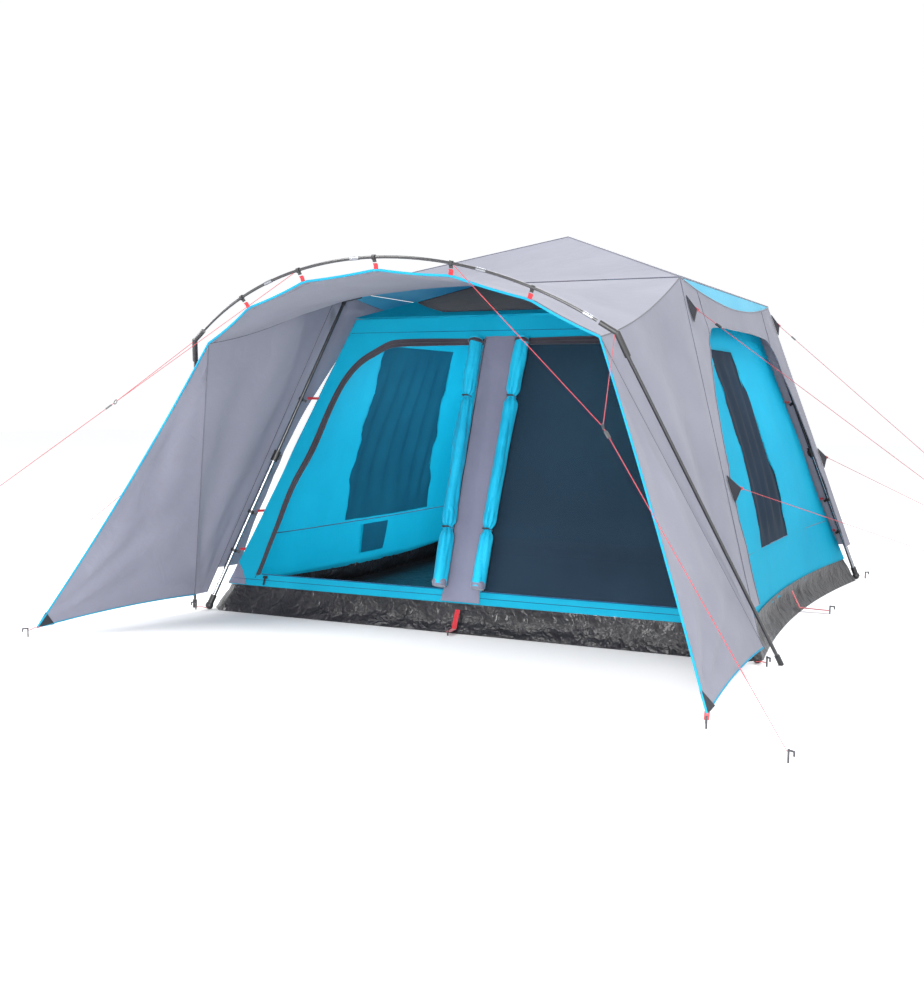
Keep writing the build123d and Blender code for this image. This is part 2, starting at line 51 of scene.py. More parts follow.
# ---- sizes shared with the CAD, in metres ---------------------------------
BASE_X, BASE_Y = 1.500, 1.518
SILL_H, SILL_X, SILL_Y = 0.140, 1.430, 1.448
CORNER_CUT = 0.080
WALL_TOP, WALL_X, WALL_Y = 1.600, 0.935, 0.900
FLY_X, FLY_Y, FLY_Z, APEX_Z = 0.963, 1.019, 1.754, 2.115
FLY_HEM_Z = 0.230
FLY_FOOT_X, FLY_FOOT_Y = 1.526, 1.545
ARCH_Y, ARCH_LEAN = -1.500, 0.493
ARCH_R, CANOPY_R = 1.660, 1.605
LEAN = math.hypot(1, ARCH_LEAN)
ARCH_CENTRE_S = 1.948 - ARCH_R
CORD_D = 0.003
HOLD_Z = 0.030
SHARP_ANGLE = math.radians(55)
ROOT, ROOF = "pitched_tent", "roof_frame"
UP, FORWARD = (0, 0, 1), (0, -1, 0.3)


def srgb(r, g, b):
    def lin(c):
        c /= 255
        return c / 12.92 if c <= 0.04045 else ((c + 0.055) / 1.055) ** 2.4
    return (lin(r), lin(g), lin(b), 1.0)


# ---- materials --------------------------------------------------------------
class Graph:
    """A material's node tree, with its textures in object coordinates."""

    def __init__(self, name):
        self.material = bpy.data.materials.new(name)
        self.material.use_nodes = True
        self.tree = self.material.node_tree
        self.tree.nodes.clear()
        self.coords = self.node("TexCoord").outputs["Object"]

    def node(self, kind, settings=None, **inputs):
        """New node. An input is a value or a socket to link; _ stands for a space in its name."""
        new = self.tree.nodes.new("ShaderNode" + kind)
        for key, value in (settings or {}).items():
            setattr(new, key, value)
        for key, value in inputs.items():
            socket = new.inputs[key.replace("_", " ")]
            if isinstance(value, bpy.types.NodeSocket):
                self.tree.links.new(value, socket)
            else:
                socket.default_value = value
        return new

    def ramp(self, factor, *stops):
        """Colour ramp with two stops, each a position and a colour."""
        new = self.node("ValToRGB", Fac=factor)
        for element, (position, colour) in zip(new.color_ramp.elements, stops):
            element.position = position
            element.color = colour
        return new.outputs["Color"]

    def blend(self, share, first, second):
        mixed = self.node("MixShader", Fac=share)
        self.tree.links.new(first, mixed.inputs[1])
        self.tree.links.new(second, mixed.inputs[2])
        return mixed.outputs["Shader"]

    def finish(self, surface):
        self.node("OutputMaterial", Surface=surface)
        return self.material


def cloth_material(name, colour, shade, roughness=0.62, sheen=0.25, weave=1400.0, crease=0.6,
                   glow=0.0, glow_colour=None, clear=0.0, crinkle=0.0, gloss=0.15):
    """Woven cloth with cloudy colour, a fine weave and soft creases. Light passes through by glow."""
    g = Graph(name)
    cloudy = g.node("TexNoise", Vector=g.coords, Scale=2.2, Detail=5.0, Roughness=0.6)
    tones = g.ramp(cloudy.outputs["Fac"], (0.30, shade), (0.66, colour))
    thread = g.node("TexNoise", Vector=g.coords, Scale=weave, Detail=1.0).outputs["Fac"]
    woven = g.node("Mix", {"data_type": "RGBA", "blend_type": "MULTIPLY"}, Factor=0.16, A=tones, B=thread)
    soft = g.node("TexNoise", Vector=g.coords, Scale=7.0, Detail=6.0, Roughness=0.55, Distortion=1.2)
    bump = g.node("Bump", Strength=crease, Distance=0.012, Height=soft.outputs["Fac"])
    last = g.node("Bump", Strength=0.12, Distance=0.0004, Height=thread, Normal=bump.outputs["Normal"])
    if crinkle:
        bend = g.node("TexNoise", Vector=g.coords, Scale=9.0, Detail=3.0)
        warp = g.node("Mix", {"data_type": "VECTOR"}, Factor=0.22, A=g.coords, B=bend.outputs["Color"])
        fold = g.node("TexVoronoi", {"feature": "DISTANCE_TO_EDGE"}, Scale=16.0, Vector=warp.outputs["Result"])
        last = g.node("Bump", Strength=crinkle, Distance=0.010, Height=fold.outputs["Distance"],
                      Normal=last.outputs["Normal"])
    shader = g.node("BsdfPrincipled", Roughness=roughness, Specular_IOR_Level=gloss, Sheen_Weight=sheen,
                    Sheen_Roughness=0.45, Base_Color=woven.outputs["Result"], Normal=last.outputs["Normal"])
    surface = shader.outputs["BSDF"]
    if glow:
        through = g.node("BsdfTranslucent", Color=glow_colour or colour)
        surface = g.blend(glow, surface, through.outputs["BSDF"])
    if clear:
        surface = g.blend(clear, surface, g.node("BsdfTransparent").outputs["BSDF"])
    return g.finish(surface)


def hard_material(name, colour, roughness, metallic=0.0, grain=60.0, wear=0.0, coat=0.0):
    """Moulded plastic or metal: fine grain in the gloss and bump, with worn patches."""
    g = Graph(name)
    speck = g.node("TexNoise", Vector=g.coords, Scale=grain, Detail=6.0).outputs["Fac"]
    gloss = g.node("MapRange", Value=speck, To_Min=roughness * 0.75, To_Max=min(1.0, roughness * 1.35))
    worn = tuple(min(1, c * (1 + wear)) for c in colour[:3]) + (1,)
    bump = g.node("Bump", Strength=0.2, Distance=0.0006, Height=speck)
    shader = g.node("BsdfPrincipled", Metallic=metallic, Coat_Weight=coat, Roughness=gloss.outputs["Result"],
                    Base_Color=g.ramp(speck, (0.35, colour), (0.72, worn)), Normal=bump.outputs["Normal"])
    return g.finish(shader.outputs["BSDF"])


def braid_material(name, colour, fleck, scale):
    """Braided cord or narrow webbing: diagonal strands with a second colour in the braid."""
    g = Graph(name)
    strands = g.node("TexWave", {"bands_direction": "DIAGONAL"}, Vector=g.coords, Scale=scale, Distortion=2.0)
    strands = strands.outputs["Fac"]
    bump = g.node("Bump", Strength=0.4, Distance=0.0005, Height=strands)
    shader = g.node("BsdfPrincipled", Roughness=0.75, Sheen_Weight=0.3, Normal=bump.outputs["Normal"],
                    Base_Color=g.ramp(strands, (0.15, fleck), (0.45, colour)))
    return g.finish(shader.outputs["BSDF"])


def floor_material():
    """Pale studio floor with painted shade: a little darker under the tent than far away."""
    g = Graph("floor_painted_shade")
    reach = g.node("VectorMath", {"operation": "LENGTH"})
    g.tree.links.new(g.coords, reach.inputs[0])
    # Painted shade: the floor colour falls from 0.97 far away to 0.74 within 2 m of the middle.
    painted_shade = g.node("MapRange", Value=reach.outputs["Value"], From_Min=2.0, From_Max=9.0, To_Min=0.74, To_Max=0.97)
    shader = g.node("BsdfPrincipled", Roughness=0.9, Base_Color=painted_shade.outputs["Result"])
    return g.finish(shader.outputs["BSDF"])


GREY = cloth_material("fly_grey", srgb(137, 138, 150), srgb(126, 127, 139), glow=0.32,
                      glow_colour=srgb(172, 174, 188), crease=0.5, sheen=0.12)
CYAN = cloth_material("fly_cyan", srgb(104, 182, 208), srgb(88, 170, 198), glow=0.25, crease=0.35,
                      sheen=0.05)
BLUE = cloth_material("inner_blue", srgb(24, 172, 202), srgb(14, 158, 190), glow=0.42,
                      glow_colour=srgb(60, 206, 228), crease=0.45, sheen=0.0)
BLUE_IN = cloth_material("inner_blue_rolled", srgb(20, 160, 194), srgb(8, 138, 174), crease=0.9,
                         sheen=0.05)
STRIP = cloth_material("strip_grey", srgb(108, 110, 128), srgb(96, 98, 116), crease=0.3)
TAPE = cloth_material("zip_tape", srgb(66, 62, 70), srgb(48, 44, 52), weave=500, crease=0.1)
PIPING = cloth_material("piping_blue", srgb(24, 140, 172), srgb(14, 122, 156), weave=900, crease=0.1,
                        sheen=0.0)
SEAM = cloth_material("seam_dark", srgb(50, 52, 62), srgb(38, 40, 50), weave=900, crease=0.1)
SEAM_GREY = cloth_material("seam_grey", srgb(92, 93, 106), srgb(80, 81, 94), weave=900, crease=0.1)
SEAM_BLUE = cloth_material("seam_blue", srgb(6, 84, 122), srgb(3, 64, 100), weave=900, crease=0.1)
MESH = cloth_material("mesh_dark", srgb(24, 44, 60), srgb(18, 36, 52), weave=2600, clear=0.16, crease=0.2,
                      roughness=0.8)
WINDOW = cloth_material("window_mesh", srgb(26, 42, 58), srgb(18, 32, 46), weave=2600, crease=0.3, roughness=0.85,
                        sheen=0.0)
# Inner face of the window mesh: its teal base colour is painted light, for daylight through the mesh and the blue
# cloth behind it. The translucency is real.
WINDOW_BACK_PAINTED_LIGHT = cloth_material("window_mesh_back_painted_light", srgb(20, 104, 134), srgb(12, 90, 120), weave=2600, crease=0.3,
                           roughness=0.85, sheen=0.0, glow=0.35, glow_colour=srgb(24, 130, 165))
SHEET = cloth_material("groundsheet_pe", srgb(34, 34, 38), srgb(20, 20, 23), roughness=0.34, sheen=0.0, weave=700,
                       crease=1.0, crinkle=1.0, gloss=0.4)
PATCH = cloth_material("patch_dark", srgb(44, 45, 52), srgb(32, 33, 40), weave=700, crease=0.2, sheen=0.0)
WEBBING = braid_material("webbing_red", srgb(172, 0, 26), srgb(120, 0, 16), 500)
CORD = braid_material("cord_red", srgb(166, 2, 28), srgb(104, 4, 20), 260)
BLACK = hard_material("plastic_black", srgb(26, 26, 28), 0.42, grain=220, wear=0.6)
POLE = hard_material("pole_black", srgb(24, 24, 27), 0.28, metallic=0.0, grain=300, wear=0.8, coat=0.5)
STEEL = hard_material("steel_bright", srgb(150, 152, 158), 0.24, metallic=1.0, grain=140, wear=-0.15)
PEGS = hard_material("peg_steel", srgb(60, 60, 64), 0.35, metallic=0.7, grain=200, wear=0.9)


# ---- mesh building ------------------------------------------------------------
class Piece:
    """Gathers cloth sheets, tubes and straps into one object."""

    def __init__(self, name):
        self.name = name
        self.verts, self.faces, self.mats, self.weights = [], [], [], []
        self.materials = []
        self.area = 0.0

    def _mat(self, material):
        if material not in self.materials:
            self.materials.append(material)
        return self.materials.index(material)

    def add(self, verts, faces, material, weights=None):
        start, k = len(self.verts), self._mat(material)
        self.verts += [tuple(v) for v in verts]
        self.weights += weights if weights is not None else [None] * len(verts)
        for f in faces:
            self.faces.append(tuple(start + i for i in f))
            self.mats.append(k)

    def sheet(self, outline, holes, place, material, step=0.04, thick=0.0012, relief=None, back=None,
              outward=None):
        """Cloth cut to an outline with holes in (u, v), laid on place(u, v), pushed out by relief(u, v)."""
        loops = [dense(outline, step)] + [dense(h, step) for h in holes]
        points, edges = [], []
        for loop in loops:
            start, n = len(points), len(loop)
            points += loop
            edges += [(start + i, start + (i + 1) % n) for i in range(n)]
        us, vs = [p[0] for p in outline], [p[1] for p in outline]
        nu = max(1, round((max(us) - min(us)) / step))
        nv = max(1, round((max(vs) - min(vs)) / step))
        for j in range(nv + 1):
            for i in range(nu + 1):
                shift = 0.5 if j % 2 else 0.0
                u = min(us) + (i + shift) / nu * (max(us) - min(us))
                p = (u, min(vs) + j / nv * (max(vs) - min(vs)))
                if inside(p, loops[0]) and not any(inside(p, h) for h in loops[1:]):
                    if min(edge_distance(p, loop) for loop in loops) > step * 0.45:
                        points.append(p)
        flat, _, tris, *_ = delaunay_2d_cdt([Vector(p) for p in points], edges, [], 0, 1e-7)
        keep = []
        for t in tris:
            c = sum((flat[i] for i in t), Vector((0, 0))) / 3
            if inside(c, loops[0]) and not any(inside(c, h) for h in loops[1:]):
                keep.append(tuple(t))
        base = [Vector(place(*p)) for p in flat]
        normals = []
        for p, q in zip(flat, base):
            du = Vector(place(p[0] + 1e-3, p[1])) - q
            dv = Vector(place(p[0], p[1] + 1e-3)) - q
            n = du.cross(dv)
            n = n.normalized() if n.length > 1e-12 else Vector((0, 0, 1))
            if outward is not None and n.dot(Vector(outward)) < 0:
                n = -n
            normals.append(n)
        if relief:
            base = [q + n * relief(p[0], p[1]) for p, q, n in zip(flat, base, normals)]
        a, b, c = keep[0]
        facing = (base[b] - base[a]).cross(base[c] - base[a])
        if facing.dot(normals[a]) < 0:
            keep = [t[::-1] for t in keep]
        self.area += sum((base[j] - base[i]).cross(base[m] - base[i]).length / 2 for i, j, m in keep)
        k = len(base)
        under = [q - n * thick for q, n in zip(base, normals)]
        sides = {(t[i], t[(i + 1) % 3]): True for t in keep for i in range(3)}
        rim = [(i, j) for i, j in sides if (j, i) not in sides]
        self.add(base + under, keep, material)
        start = len(self.verts) - 2 * k
        kb = self._mat(back or material)
        for t in keep:
            self.faces.append(tuple(start + k + i for i in t[::-1]))
            self.mats.append(kb)
        for i, j in rim:
            self.faces.append((start + j, start + i, start + k + i, start + k + j))
            self.mats.append(kb)

    def tube(self, points, radius, material, sides=8, flat=1.0, closed=False, taper=None):
        """Round or flattened tube along points."""
        pts = [Vector(p) for p in points]
        n = len(pts)
        up = None
        verts, faces = [], []
        for i, p in enumerate(pts):
            a, b = pts[max(i - 1, 0)], pts[min(i + 1, n - 1)]
            if closed:
                a, b = pts[i - 1], pts[(i + 1) % n]
            d = (b - a).normalized()
            if up is None:
                up = d.cross(Vector((0, 0, 1)))
                if up.length < 1e-3:
                    up = d.cross(Vector((1, 0, 0)))
            up = (up - d * up.dot(d)).normalized()
            side = d.cross(up).normalized()
            r = radius * (taper(i / max(1, n - 1)) if taper else 1.0)
            for s in range(sides):
                t = 2 * math.pi * s / sides
                verts.append(p + up * (math.cos(t) * r * flat) + side * (math.sin(t) * r))
        rings = n if closed else n - 1
        for i in range(rings):
            for s in range(sides):
                a, b = i * sides + s, i * sides + (s + 1) % sides
                c, d2 = ((i + 1) % n) * sides + (s + 1) % sides, ((i + 1) % n) * sides + s
                faces.append((a, b, c, d2))
        if not closed:
            faces.append(tuple(range(sides))[::-1])
            faces.append(tuple((n - 1) * sides + s for s in range(sides)))
        self.add(verts, faces, material)

    def strap(self, points, width, thick, material, wide):
        """Flat webbing along points, its width in the direction wide."""
        pts = [Vector(p) for p in points]
        verts, faces = [], []
        for i, p in enumerate(pts):
            d = (pts[min(i + 1, len(pts) - 1)] - pts[max(i - 1, 0)]).normalized()
            w = Vector(wide)
            w = (w - d * w.dot(d)).normalized()
            n = d.cross(w).normalized()
            for sw, sn in ((-1, -1), (1, -1), (1, 1), (-1, 1)):
                verts.append(p + w * (sw * width / 2) + n * (sn * thick / 2))
        for i in range(len(pts) - 1):
            for s in range(4):
                a, b = i * 4 + s, i * 4 + (s + 1) % 4
                faces.append((a, b, b + 4, a + 4))
        m = (len(pts) - 1) * 4
        faces += [(3, 2, 1, 0), (m, m + 1, m + 2, m + 3)]
        self.add(verts, faces, material)

    def build(self):
        mesh = bpy.data.meshes.new(self.name)
        mesh.from_pydata(self.verts, [], self.faces)
        for m in self.materials:
            mesh.materials.append(m)
        mesh.polygons.foreach_set("material_index", self.mats)
        mesh.polygons.foreach_set("use_smooth", [True] * len(self.faces))
        mesh.update()
        mesh.set_sharp_from_angle(angle=SHARP_ANGLE)
        obj = bpy.data.objects.new(self.name, mesh)
        scene.collection.objects.link(obj)
        return obj


def dense(loop, step):
    out = []
    for i, p in enumerate(loop):
        q = loop[(i + 1) % len(loop)]
        n = max(1, round(math.dist(p, q) / step))
        out += [(p[0] + (q[0] - p[0]) * k / n, p[1] + (q[1] - p[1]) * k / n) for k in range(n)]
    return out


def inside(p, loop):
    x, y = p[0], p[1]
    hit = False
    for i in range(len(loop)):
        (x0, y0), (x1, y1) = loop[i], loop[i - 1]
        if (y0 > y) != (y1 > y) and x < (x1 - x0) * (y - y0) / (y1 - y0) + x0:
            hit = not hit
    return hit


def edge_distance(p, loop):
    best = 9.0
    for i in range(len(loop)):
        (x0, y0), (x1, y1) = loop[i - 1], loop[i]
        dx, dy = x1 - x0, y1 - y0
        t = ((p[0] - x0) * dx + (p[1] - y0) * dy) / max(1e-12, dx * dx + dy * dy)
        t = min(1.0, max(0.0, t))
        best = min(best, math.hypot(p[0] - x0 - t * dx, p[1] - y0 - t * dy))
    return best


def smooth_loop(points, rounds=2, keep=()):
    """Chaikin corner cutting; points whose index is in keep stay sharp."""
    fixed = {points[i] for i in keep}
    for _ in range(rounds):
        out = []
        n = len(points)
        for i in range(n):
            p, q = points[i], points[(i + 1) % n]
            a = (p[0] * 0.75 + q[0] * 0.25, p[1] * 0.75 + q[1] * 0.25)
            b = (p[0] * 0.25 + q[0] * 0.75, p[1] * 0.25 + q[1] * 0.75)
            out.append(p if p in fixed else a)
            if q not in fixed:
                out.append(b)
        points = out
    return points


def cloud(p, scale, seed=0.0):
    """Smooth noise over (u, v), from -1 to 1."""
    return noise.noise(Vector((p[0] * scale + seed, p[1] * scale, 0.0)))


def rays(p, centre, count, length):
    """Creases that run out from a point under pull and fade away."""
    dx, dy = p[0] - centre[0], p[1] - centre[1]
    d = math.hypot(dx, dy)
    a = math.atan2(dy, dx)
    wander = 2.0 * noise.noise(Vector((a * 3, d * 0.8, 1.7)))
    return math.sin(a * count + wander) * math.exp(-d / length) * min(1.0, d / 0.12)


def mix(a, b, t):
    return tuple(p + (q - p) * t for p, q in zip(a, b))


def arch_point(x, s, forward=0.0):
    return (x, ARCH_Y - s * ARCH_LEAN / LEAN - forward, s / LEAN)


def arch_arc_point(angle_deg, radius=ARCH_R, forward=0.0):
    a = math.radians(angle_deg)
    return arch_point(radius * math.sin(a), ARCH_CENTRE_S + radius * math.cos(a), forward)


def front_wall(x, z, out=0.0):
    slope = (SILL_Y - WALL_Y) / (WALL_TOP - SILL_H)
    return (x, -(SILL_Y - slope * (z - SILL_H)) - out, z)


def side_wall(y, z, side, out=0.0):
    slope = (SILL_X - WALL_X) / (WALL_TOP - SILL_H)
    return (side * (SILL_X - slope * (z - SILL_H) + out), y, z)


def fly_side(y, z, side, out=0.0):
    slope = (FLY_FOOT_X - FLY_X) / FLY_Z
    return (side * (FLY_FOOT_X - slope * z + out), y, z)


def fly_corner_y(z):
    return FLY_FOOT_Y - (FLY_FOOT_Y - FLY_Y) / FLY_Z * z


def fly_half_x(z):
    return FLY_FOOT_X - (FLY_FOOT_X - FLY_X) / FLY_Z * z


# ---- camera, light and floor ---------------------------------------------------
YAW, PITCH, ROLL = 0.45829, -0.09012, 0.00782
ahead = Vector((-math.sin(YAW) * math.cos(PITCH), math.cos(YAW) * math.cos(PITCH), math.sin(PITCH)))
across = Vector((math.cos(YAW), math.sin(YAW), 0))
above = across.cross(ahead)
cam_x = math.cos(ROLL) * across + math.sin(ROLL) * above
cam_y = -math.sin(ROLL) * across + math.cos(ROLL) * above
cam_data = bpy.data.cameras.new("camera")
cam_data.sensor_width = 36
cam_data.lens = 44.72
cam_data.shift_x = 0.021
cam_data.shift_y = 0.014
camera = bpy.data.objects.new("camera", cam_data)
scene.collection.objects.link(camera)
turn = Matrix((cam_x, cam_y, -ahead)).transposed().to_4x4()
camera.matrix_world = Matrix.Translation(Vector((2.6274, -6.9918, 1.1426))) @ turn
scene.camera = camera


def area_light(name, at, target, size, power, colour=(1, 1, 1)):
    data = bpy.data.lights.new(name, "AREA")
    data.shape = "DISK"
    data.size = size
    data.energy = power
    data.color = colour
    lamp = bpy.data.objects.new(name, data)
    scene.collection.objects.link(lamp)
    lamp.location = at
    lamp.rotation_euler = (Vector(target) - Vector(at)).to_track_quat("-Z", "Y").to_euler()


area_light("key", (-3.5, -5.5, 7.0), (0, 0, 0.8), 4.0, 900, (1.0, 0.99, 0.97))
area_light("fill", (6.5, -3.0, 4.0), (0.5, 0, 0.8), 4.0, 360)
area_light("front", (2.2, -7.5, 1.3), (-0.7, -1.2, 0.9), 3.0, 800)
area_light("left", (-7.0, -2.6, 2.4), (-1.4, -1.8, 0.9), 3.0, 620)
area_light("top", (1.0, 2.0, 7.5), (0, 0, 1.0), 5.0, 800)
cabin_data = bpy.data.lights.new("cabin", "POINT")
cabin_data.shadow_soft_size = 0.20
cabin_data.energy = 100
cabin = bpy.data.objects.new("cabin", cabin_data)
scene.collection.objects.link(cabin)
cabin.location = (0.1, 0.3, 0.85)
cabin.visible_camera = False
world = bpy.data.worlds.new("studio")
world.use_nodes = True
sky = world.node_tree.nodes["Background"]
sky.inputs["Color"].default_value = (0.97, 0.98, 1.0, 1)
sky.inputs["Strength"].default_value = 1.55
scene.world = world

floor_mesh = bpy.data.meshes.new("floor")
floor_mesh.from_pydata([(-30, -30, 0), (30, -30, 0), (30, 30, 0), (-30, 30, 0)], [], [(0, 1, 2, 3)])
floor_mesh.materials.append(floor_material())
floor = bpy.data.objects.new("floor", floor_mesh)
scene.collection.objects.link(floor)

# ---- CAD pieces that stay: only their materials ---------------------------------
CORNERS = {"fl": (-1, -1), "fr": (1, -1), "rl": (-1, 1), "rr": (1, 1)}


def dress(material, *names):
    for name in names:
        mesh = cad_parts[name].data
        mesh.materials.clear()
        mesh.materials.append(material)


for corner in CORNERS:
    dress(STEEL, f"lower_leg_{corner}")
    dress(POLE, f"upper_leg_{corner}")
    dress(BLACK, f"leg_fittings_{corner}", f"runner_{corner}")
dress(BLACK, "runner_front_left", "runner_front_right", "zip_slider_left", "zip_slider_right")
dress(BLACK, "arch_fittings", "arch_hooks", "frame_elbows", "roof_hub")
dress(POLE, "arch_pole", "roof_poles", "arch_legs")
dress(STEEL, "arch_ferrules")
dress(PEGS, "pegs")

# ---- guy lines -----------------------------------------------------------------
PULLOUTS = {
    "side_fl": ((-1.030, -0.950, 1.600), (-2.100, -2.680)),
    "side_fr": ((1.030, -0.950, 1.600), (2.800, 1.200)),
    "side_rl": ((-1.020, 1.100, 1.640), (-2.300, 1.500)),
    "side_rr": ((1.020, 1.100, 1.640), (2.800, 1.550)),
    "mid_fl": ((-1.320, -1.170, 0.750), (-2.380, -2.420)),
    "mid_fr": ((1.320, -1.170, 0.750), (2.790, 0.890)),
    "mid_rl": ((-1.290, 1.420, 0.800), (-2.300, 2.000)),
    "mid_rr": ((1.290, 1.420, 0.800), (2.750, 2.100)),
}
YOKES = {
    "left": ((-1.508, -2.222, 1.129), (-2.650, -3.150), -1),
    "right": ((1.093, -2.505, 1.053), (1.909, -3.010), 1),
}


def guy(name, start, end, node, follow=ROOT):
    """Taut line from start to end, standing for its CAD node."""
    a, b = Vector(start), Vector(end)
    path = [a.lerp(b, t / 30) for t in range(31)]
    piece = Piece(name)
    piece.tube(path, CORD_D / 2, CORD, sides=8)
    obj = place_piece(piece.build(), [node], follow)


# ---- how cloth follows the frame --------------------------------------------------
def blend_by(obj, share):
    """Cloth between the ground and the roof frame: bakes its transform and works out each point's share of the roof,
    which is not used further.
    """
    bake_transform(obj)
    values = [min(1.0, max(0.0, share(v.co))) for v in obj.data.vertices]


def inner_share(p):
    return (p[2] - SILL_H) / (WALL_TOP - SILL_H)


def fly_share(p):
    return (p[2] - SILL_H) / (FLY_Z - SILL_H)


def towards(a, b, hold):
    """Share that stays 1 for the distance hold from a, then falls evenly to 0 at b."""
    a, b = Vector(a), Vector(b)
    d = b - a

    def share(p):
        t = (Vector(p) - a).dot(d) / d.length_squared
        return min(1.0, (1.0 - t) / (1.0 - hold / d.length))
    return share


def place_piece(obj, nodes, follow):
    """The piece rides on a body by name; given a share function instead, its transform is only baked in place."""
    if isinstance(follow, str):
        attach(obj, follow)
    else:
        blend_by(obj, follow)
    if nodes:
        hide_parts(*nodes)
    return obj


def cloth(name, nodes, slot, follow, held, rests_on, material, outline, holes, place, trims=(), **how):
    """One sheet of cloth as its own object; the trims argument is not used."""
    piece = Piece(name)
    piece.sheet(outline, holes, place, material, **how)
    us, vs = [p[0] for p in outline], [p[1] for p in outline]
    width, length = max(us) - min(us), max(vs) - min(vs)
    area = max(0.305 * width * length, min(piece.area, width * length))
    obj = place_piece(piece.build(), nodes, follow)
    return obj


def flat_frame(a, b, c):
    """Axes of the plane through a, b, c: origin a, u towards b; returns to_uv and place."""
    a, b, c = Vector(a), Vector(b), Vector(c)
    u = (b - a).normalized()
    n = u.cross(c - a).normalized()
    v = n.cross(u)

    def to_uv(p):
        d = Vector(p) - a
        return (d.dot(u), d.dot(v))

    def place(s, t):
        return a + u * s + v * t
    return to_uv, place


def bowed(p, q, sag, count=10):
    """Edge from p to q in (u, v), cut hollow by sag to the left of the run."""
    dx, dy = q[0] - p[0], q[1] - p[1]
    d = math.hypot(dx, dy)
    nx, ny = -dy / d, dx / d
    out = []
    for i in range(count):
        t = i / count
        s = 4 * t * (1 - t) * sag
        out.append((p[0] + dx * t + nx * s, p[1] + dy * t + ny * s))
    return out


# ---- guy lines, in place first ------------------------------------------------------
for key, (tip, peg) in PULLOUTS.items():
    a, b = Vector(tip), Vector((*peg, HOLD_Z))
    d = (b - a).normalized()
    node = "guys_side" if key.startswith("side") else "guys_mid"
    guy(f"guy_{key}", a + d * 0.010, b - d * 0.008, node, towards(tip, b, 0.45))

for word, (ring_at, peg, side) in YOKES.items():
    r, hold = Vector(ring_at), Vector((*peg, HOLD_Z))
    down = (hold - r).normalized()
    turns = [2 * math.pi * i / 20 for i in range(20)]
    loop_pts = [r + down * (math.cos(t) * 0.009) + Vector((0, 0, math.sin(t) * 0.009)) for t in turns]
    ring = Piece(f"guy_ring_{word}")
    ring.tube(loop_pts, 0.002, BLACK, sides=8, closed=True)
    place_piece(ring.build(), ["guy_yokes"], ROOT)
    starts = (arch_arc_point(side * 13.6, ARCH_R - 0.010, 0.014),
              arch_point(side * (1.035 + 0.002), 1.590 - 0.014, 0.022))
    for i, start in enumerate(starts):
        a = Vector(start)
        d = (r - a).normalized()
        guy(f"guy_yoke_{word}_{i + 1}", a, r - d * 0.012, "guy_yokes")
    guy(f"guy_front_{word}_line", r + down * 0.012, hold - down * 0.008, f"guy_front_{word}")


# ---- groundsheet --------------------------------------------------------------------
def octagon(x, y):
    """Rectangle of half sizes x and y with its corners cut off."""
    c = CORNER_CUT
    return [(x, -y + c), (x, y - c), (x - c, y), (-x + c, y), (-x, y - c), (-x, -y + c), (-x + c, -y), (x - c, -y)]


low_ring, top_ring = octagon(BASE_X, BASE_Y), octagon(SILL_X, SILL_Y)
ring_at = [0.0]
for i in range(8):
    ring_at.append(ring_at[-1] + math.dist(low_ring[i], low_ring[(i + 1) % 8]))
GIRTH = ring_at[-1]
SILL_SLANT = math.hypot(SILL_H, BASE_X - SILL_X)
SIDE_BOW = 0.095


def side_bow(y):
    """How far the long edges of the tray are drawn in between the corners."""
    return SIDE_BOW * max(0.0, 1 - (y / 1.42) ** 2)


def tray_wall(u, v):
    """Point at u along the tray's wall and v up it."""
    u = u % GIRTH
    i = max(k for k in range(8) if ring_at[k] <= u + 1e-9)
    t = (u - ring_at[i]) / (ring_at[i + 1] - ring_at[i])
    lo, hi = mix(low_ring[i], low_ring[(i + 1) % 8], t), mix(top_ring[i], top_ring[(i + 1) % 8], t)
    x, y = mix(lo, hi, v / SILL_SLANT)
    x -= math.copysign(side_bow(y), x) if i in (0, 4) else 0.0
    return (x, y, 0.001 + (SILL_H - 0.001) * v / SILL_SLANT)


def tray_relief(u, v):
    """The tray wall slumps inwards between its corners and is crumpled."""
    u = u % GIRTH
    i = max(k for k in range(8) if ring_at[k] <= u + 1e-9)
    length = ring_at[i + 1] - ring_at[i]
    t = (u - ring_at[i]) / length
    mid = 4 * t * (1 - t) if length > 1 else 0.0
    up = v / SILL_SLANT
    slump = -0.026 * mid * math.sin(math.pi * min(1.0, up * 0.9)) if length > 1 else 0.0
    crumple = 0.012 * cloud((u, v * 1.5), 9.0, 3.0) + 0.007 * cloud((u, v), 24.0, 8.0)
    ends = min(1.0, up * 4) * min(1.0, (1 - up) * 5)
    return (slump + crumple * (0.5 + 0.5 * mid)) * ends


def floor_relief(u, v):
    return 0.003 + 0.003 * cloud((u, v), 3.0) + 0.002 * cloud((u, v), 11.0, 4.0)


wall_piece = Piece("groundsheet_sides")
wall_piece.sheet([(0, 0), (GIRTH, 0), (GIRTH, SILL_SLANT), (0, SILL_SLANT)], [], tray_wall, SHEET,
                 step=0.022, thick=0.0015, relief=tray_relief)
tray_sides = place_piece(wall_piece.build(), ["groundsheet"], ROOT)
floor_outline = []
for x, y in dense([(x * 0.9985, y * 0.9985) for x, y in low_ring], 0.12):
    drawn_in = side_bow(y) if abs(abs(x) - BASE_X * 0.9985) < 1e-6 else 0.0
    floor_outline.append((x - math.copysign(drawn_in, x), y))
cloth("groundsheet_floor", ["groundsheet"], "groundsheet", ROOT, "laid", (), SHEET, floor_outline, [],
      lambda x, y: (x, y, 0.002), trims=(tray_sides,), step=0.06, thick=0.0015, relief=floor_relief,
      outward=UP)

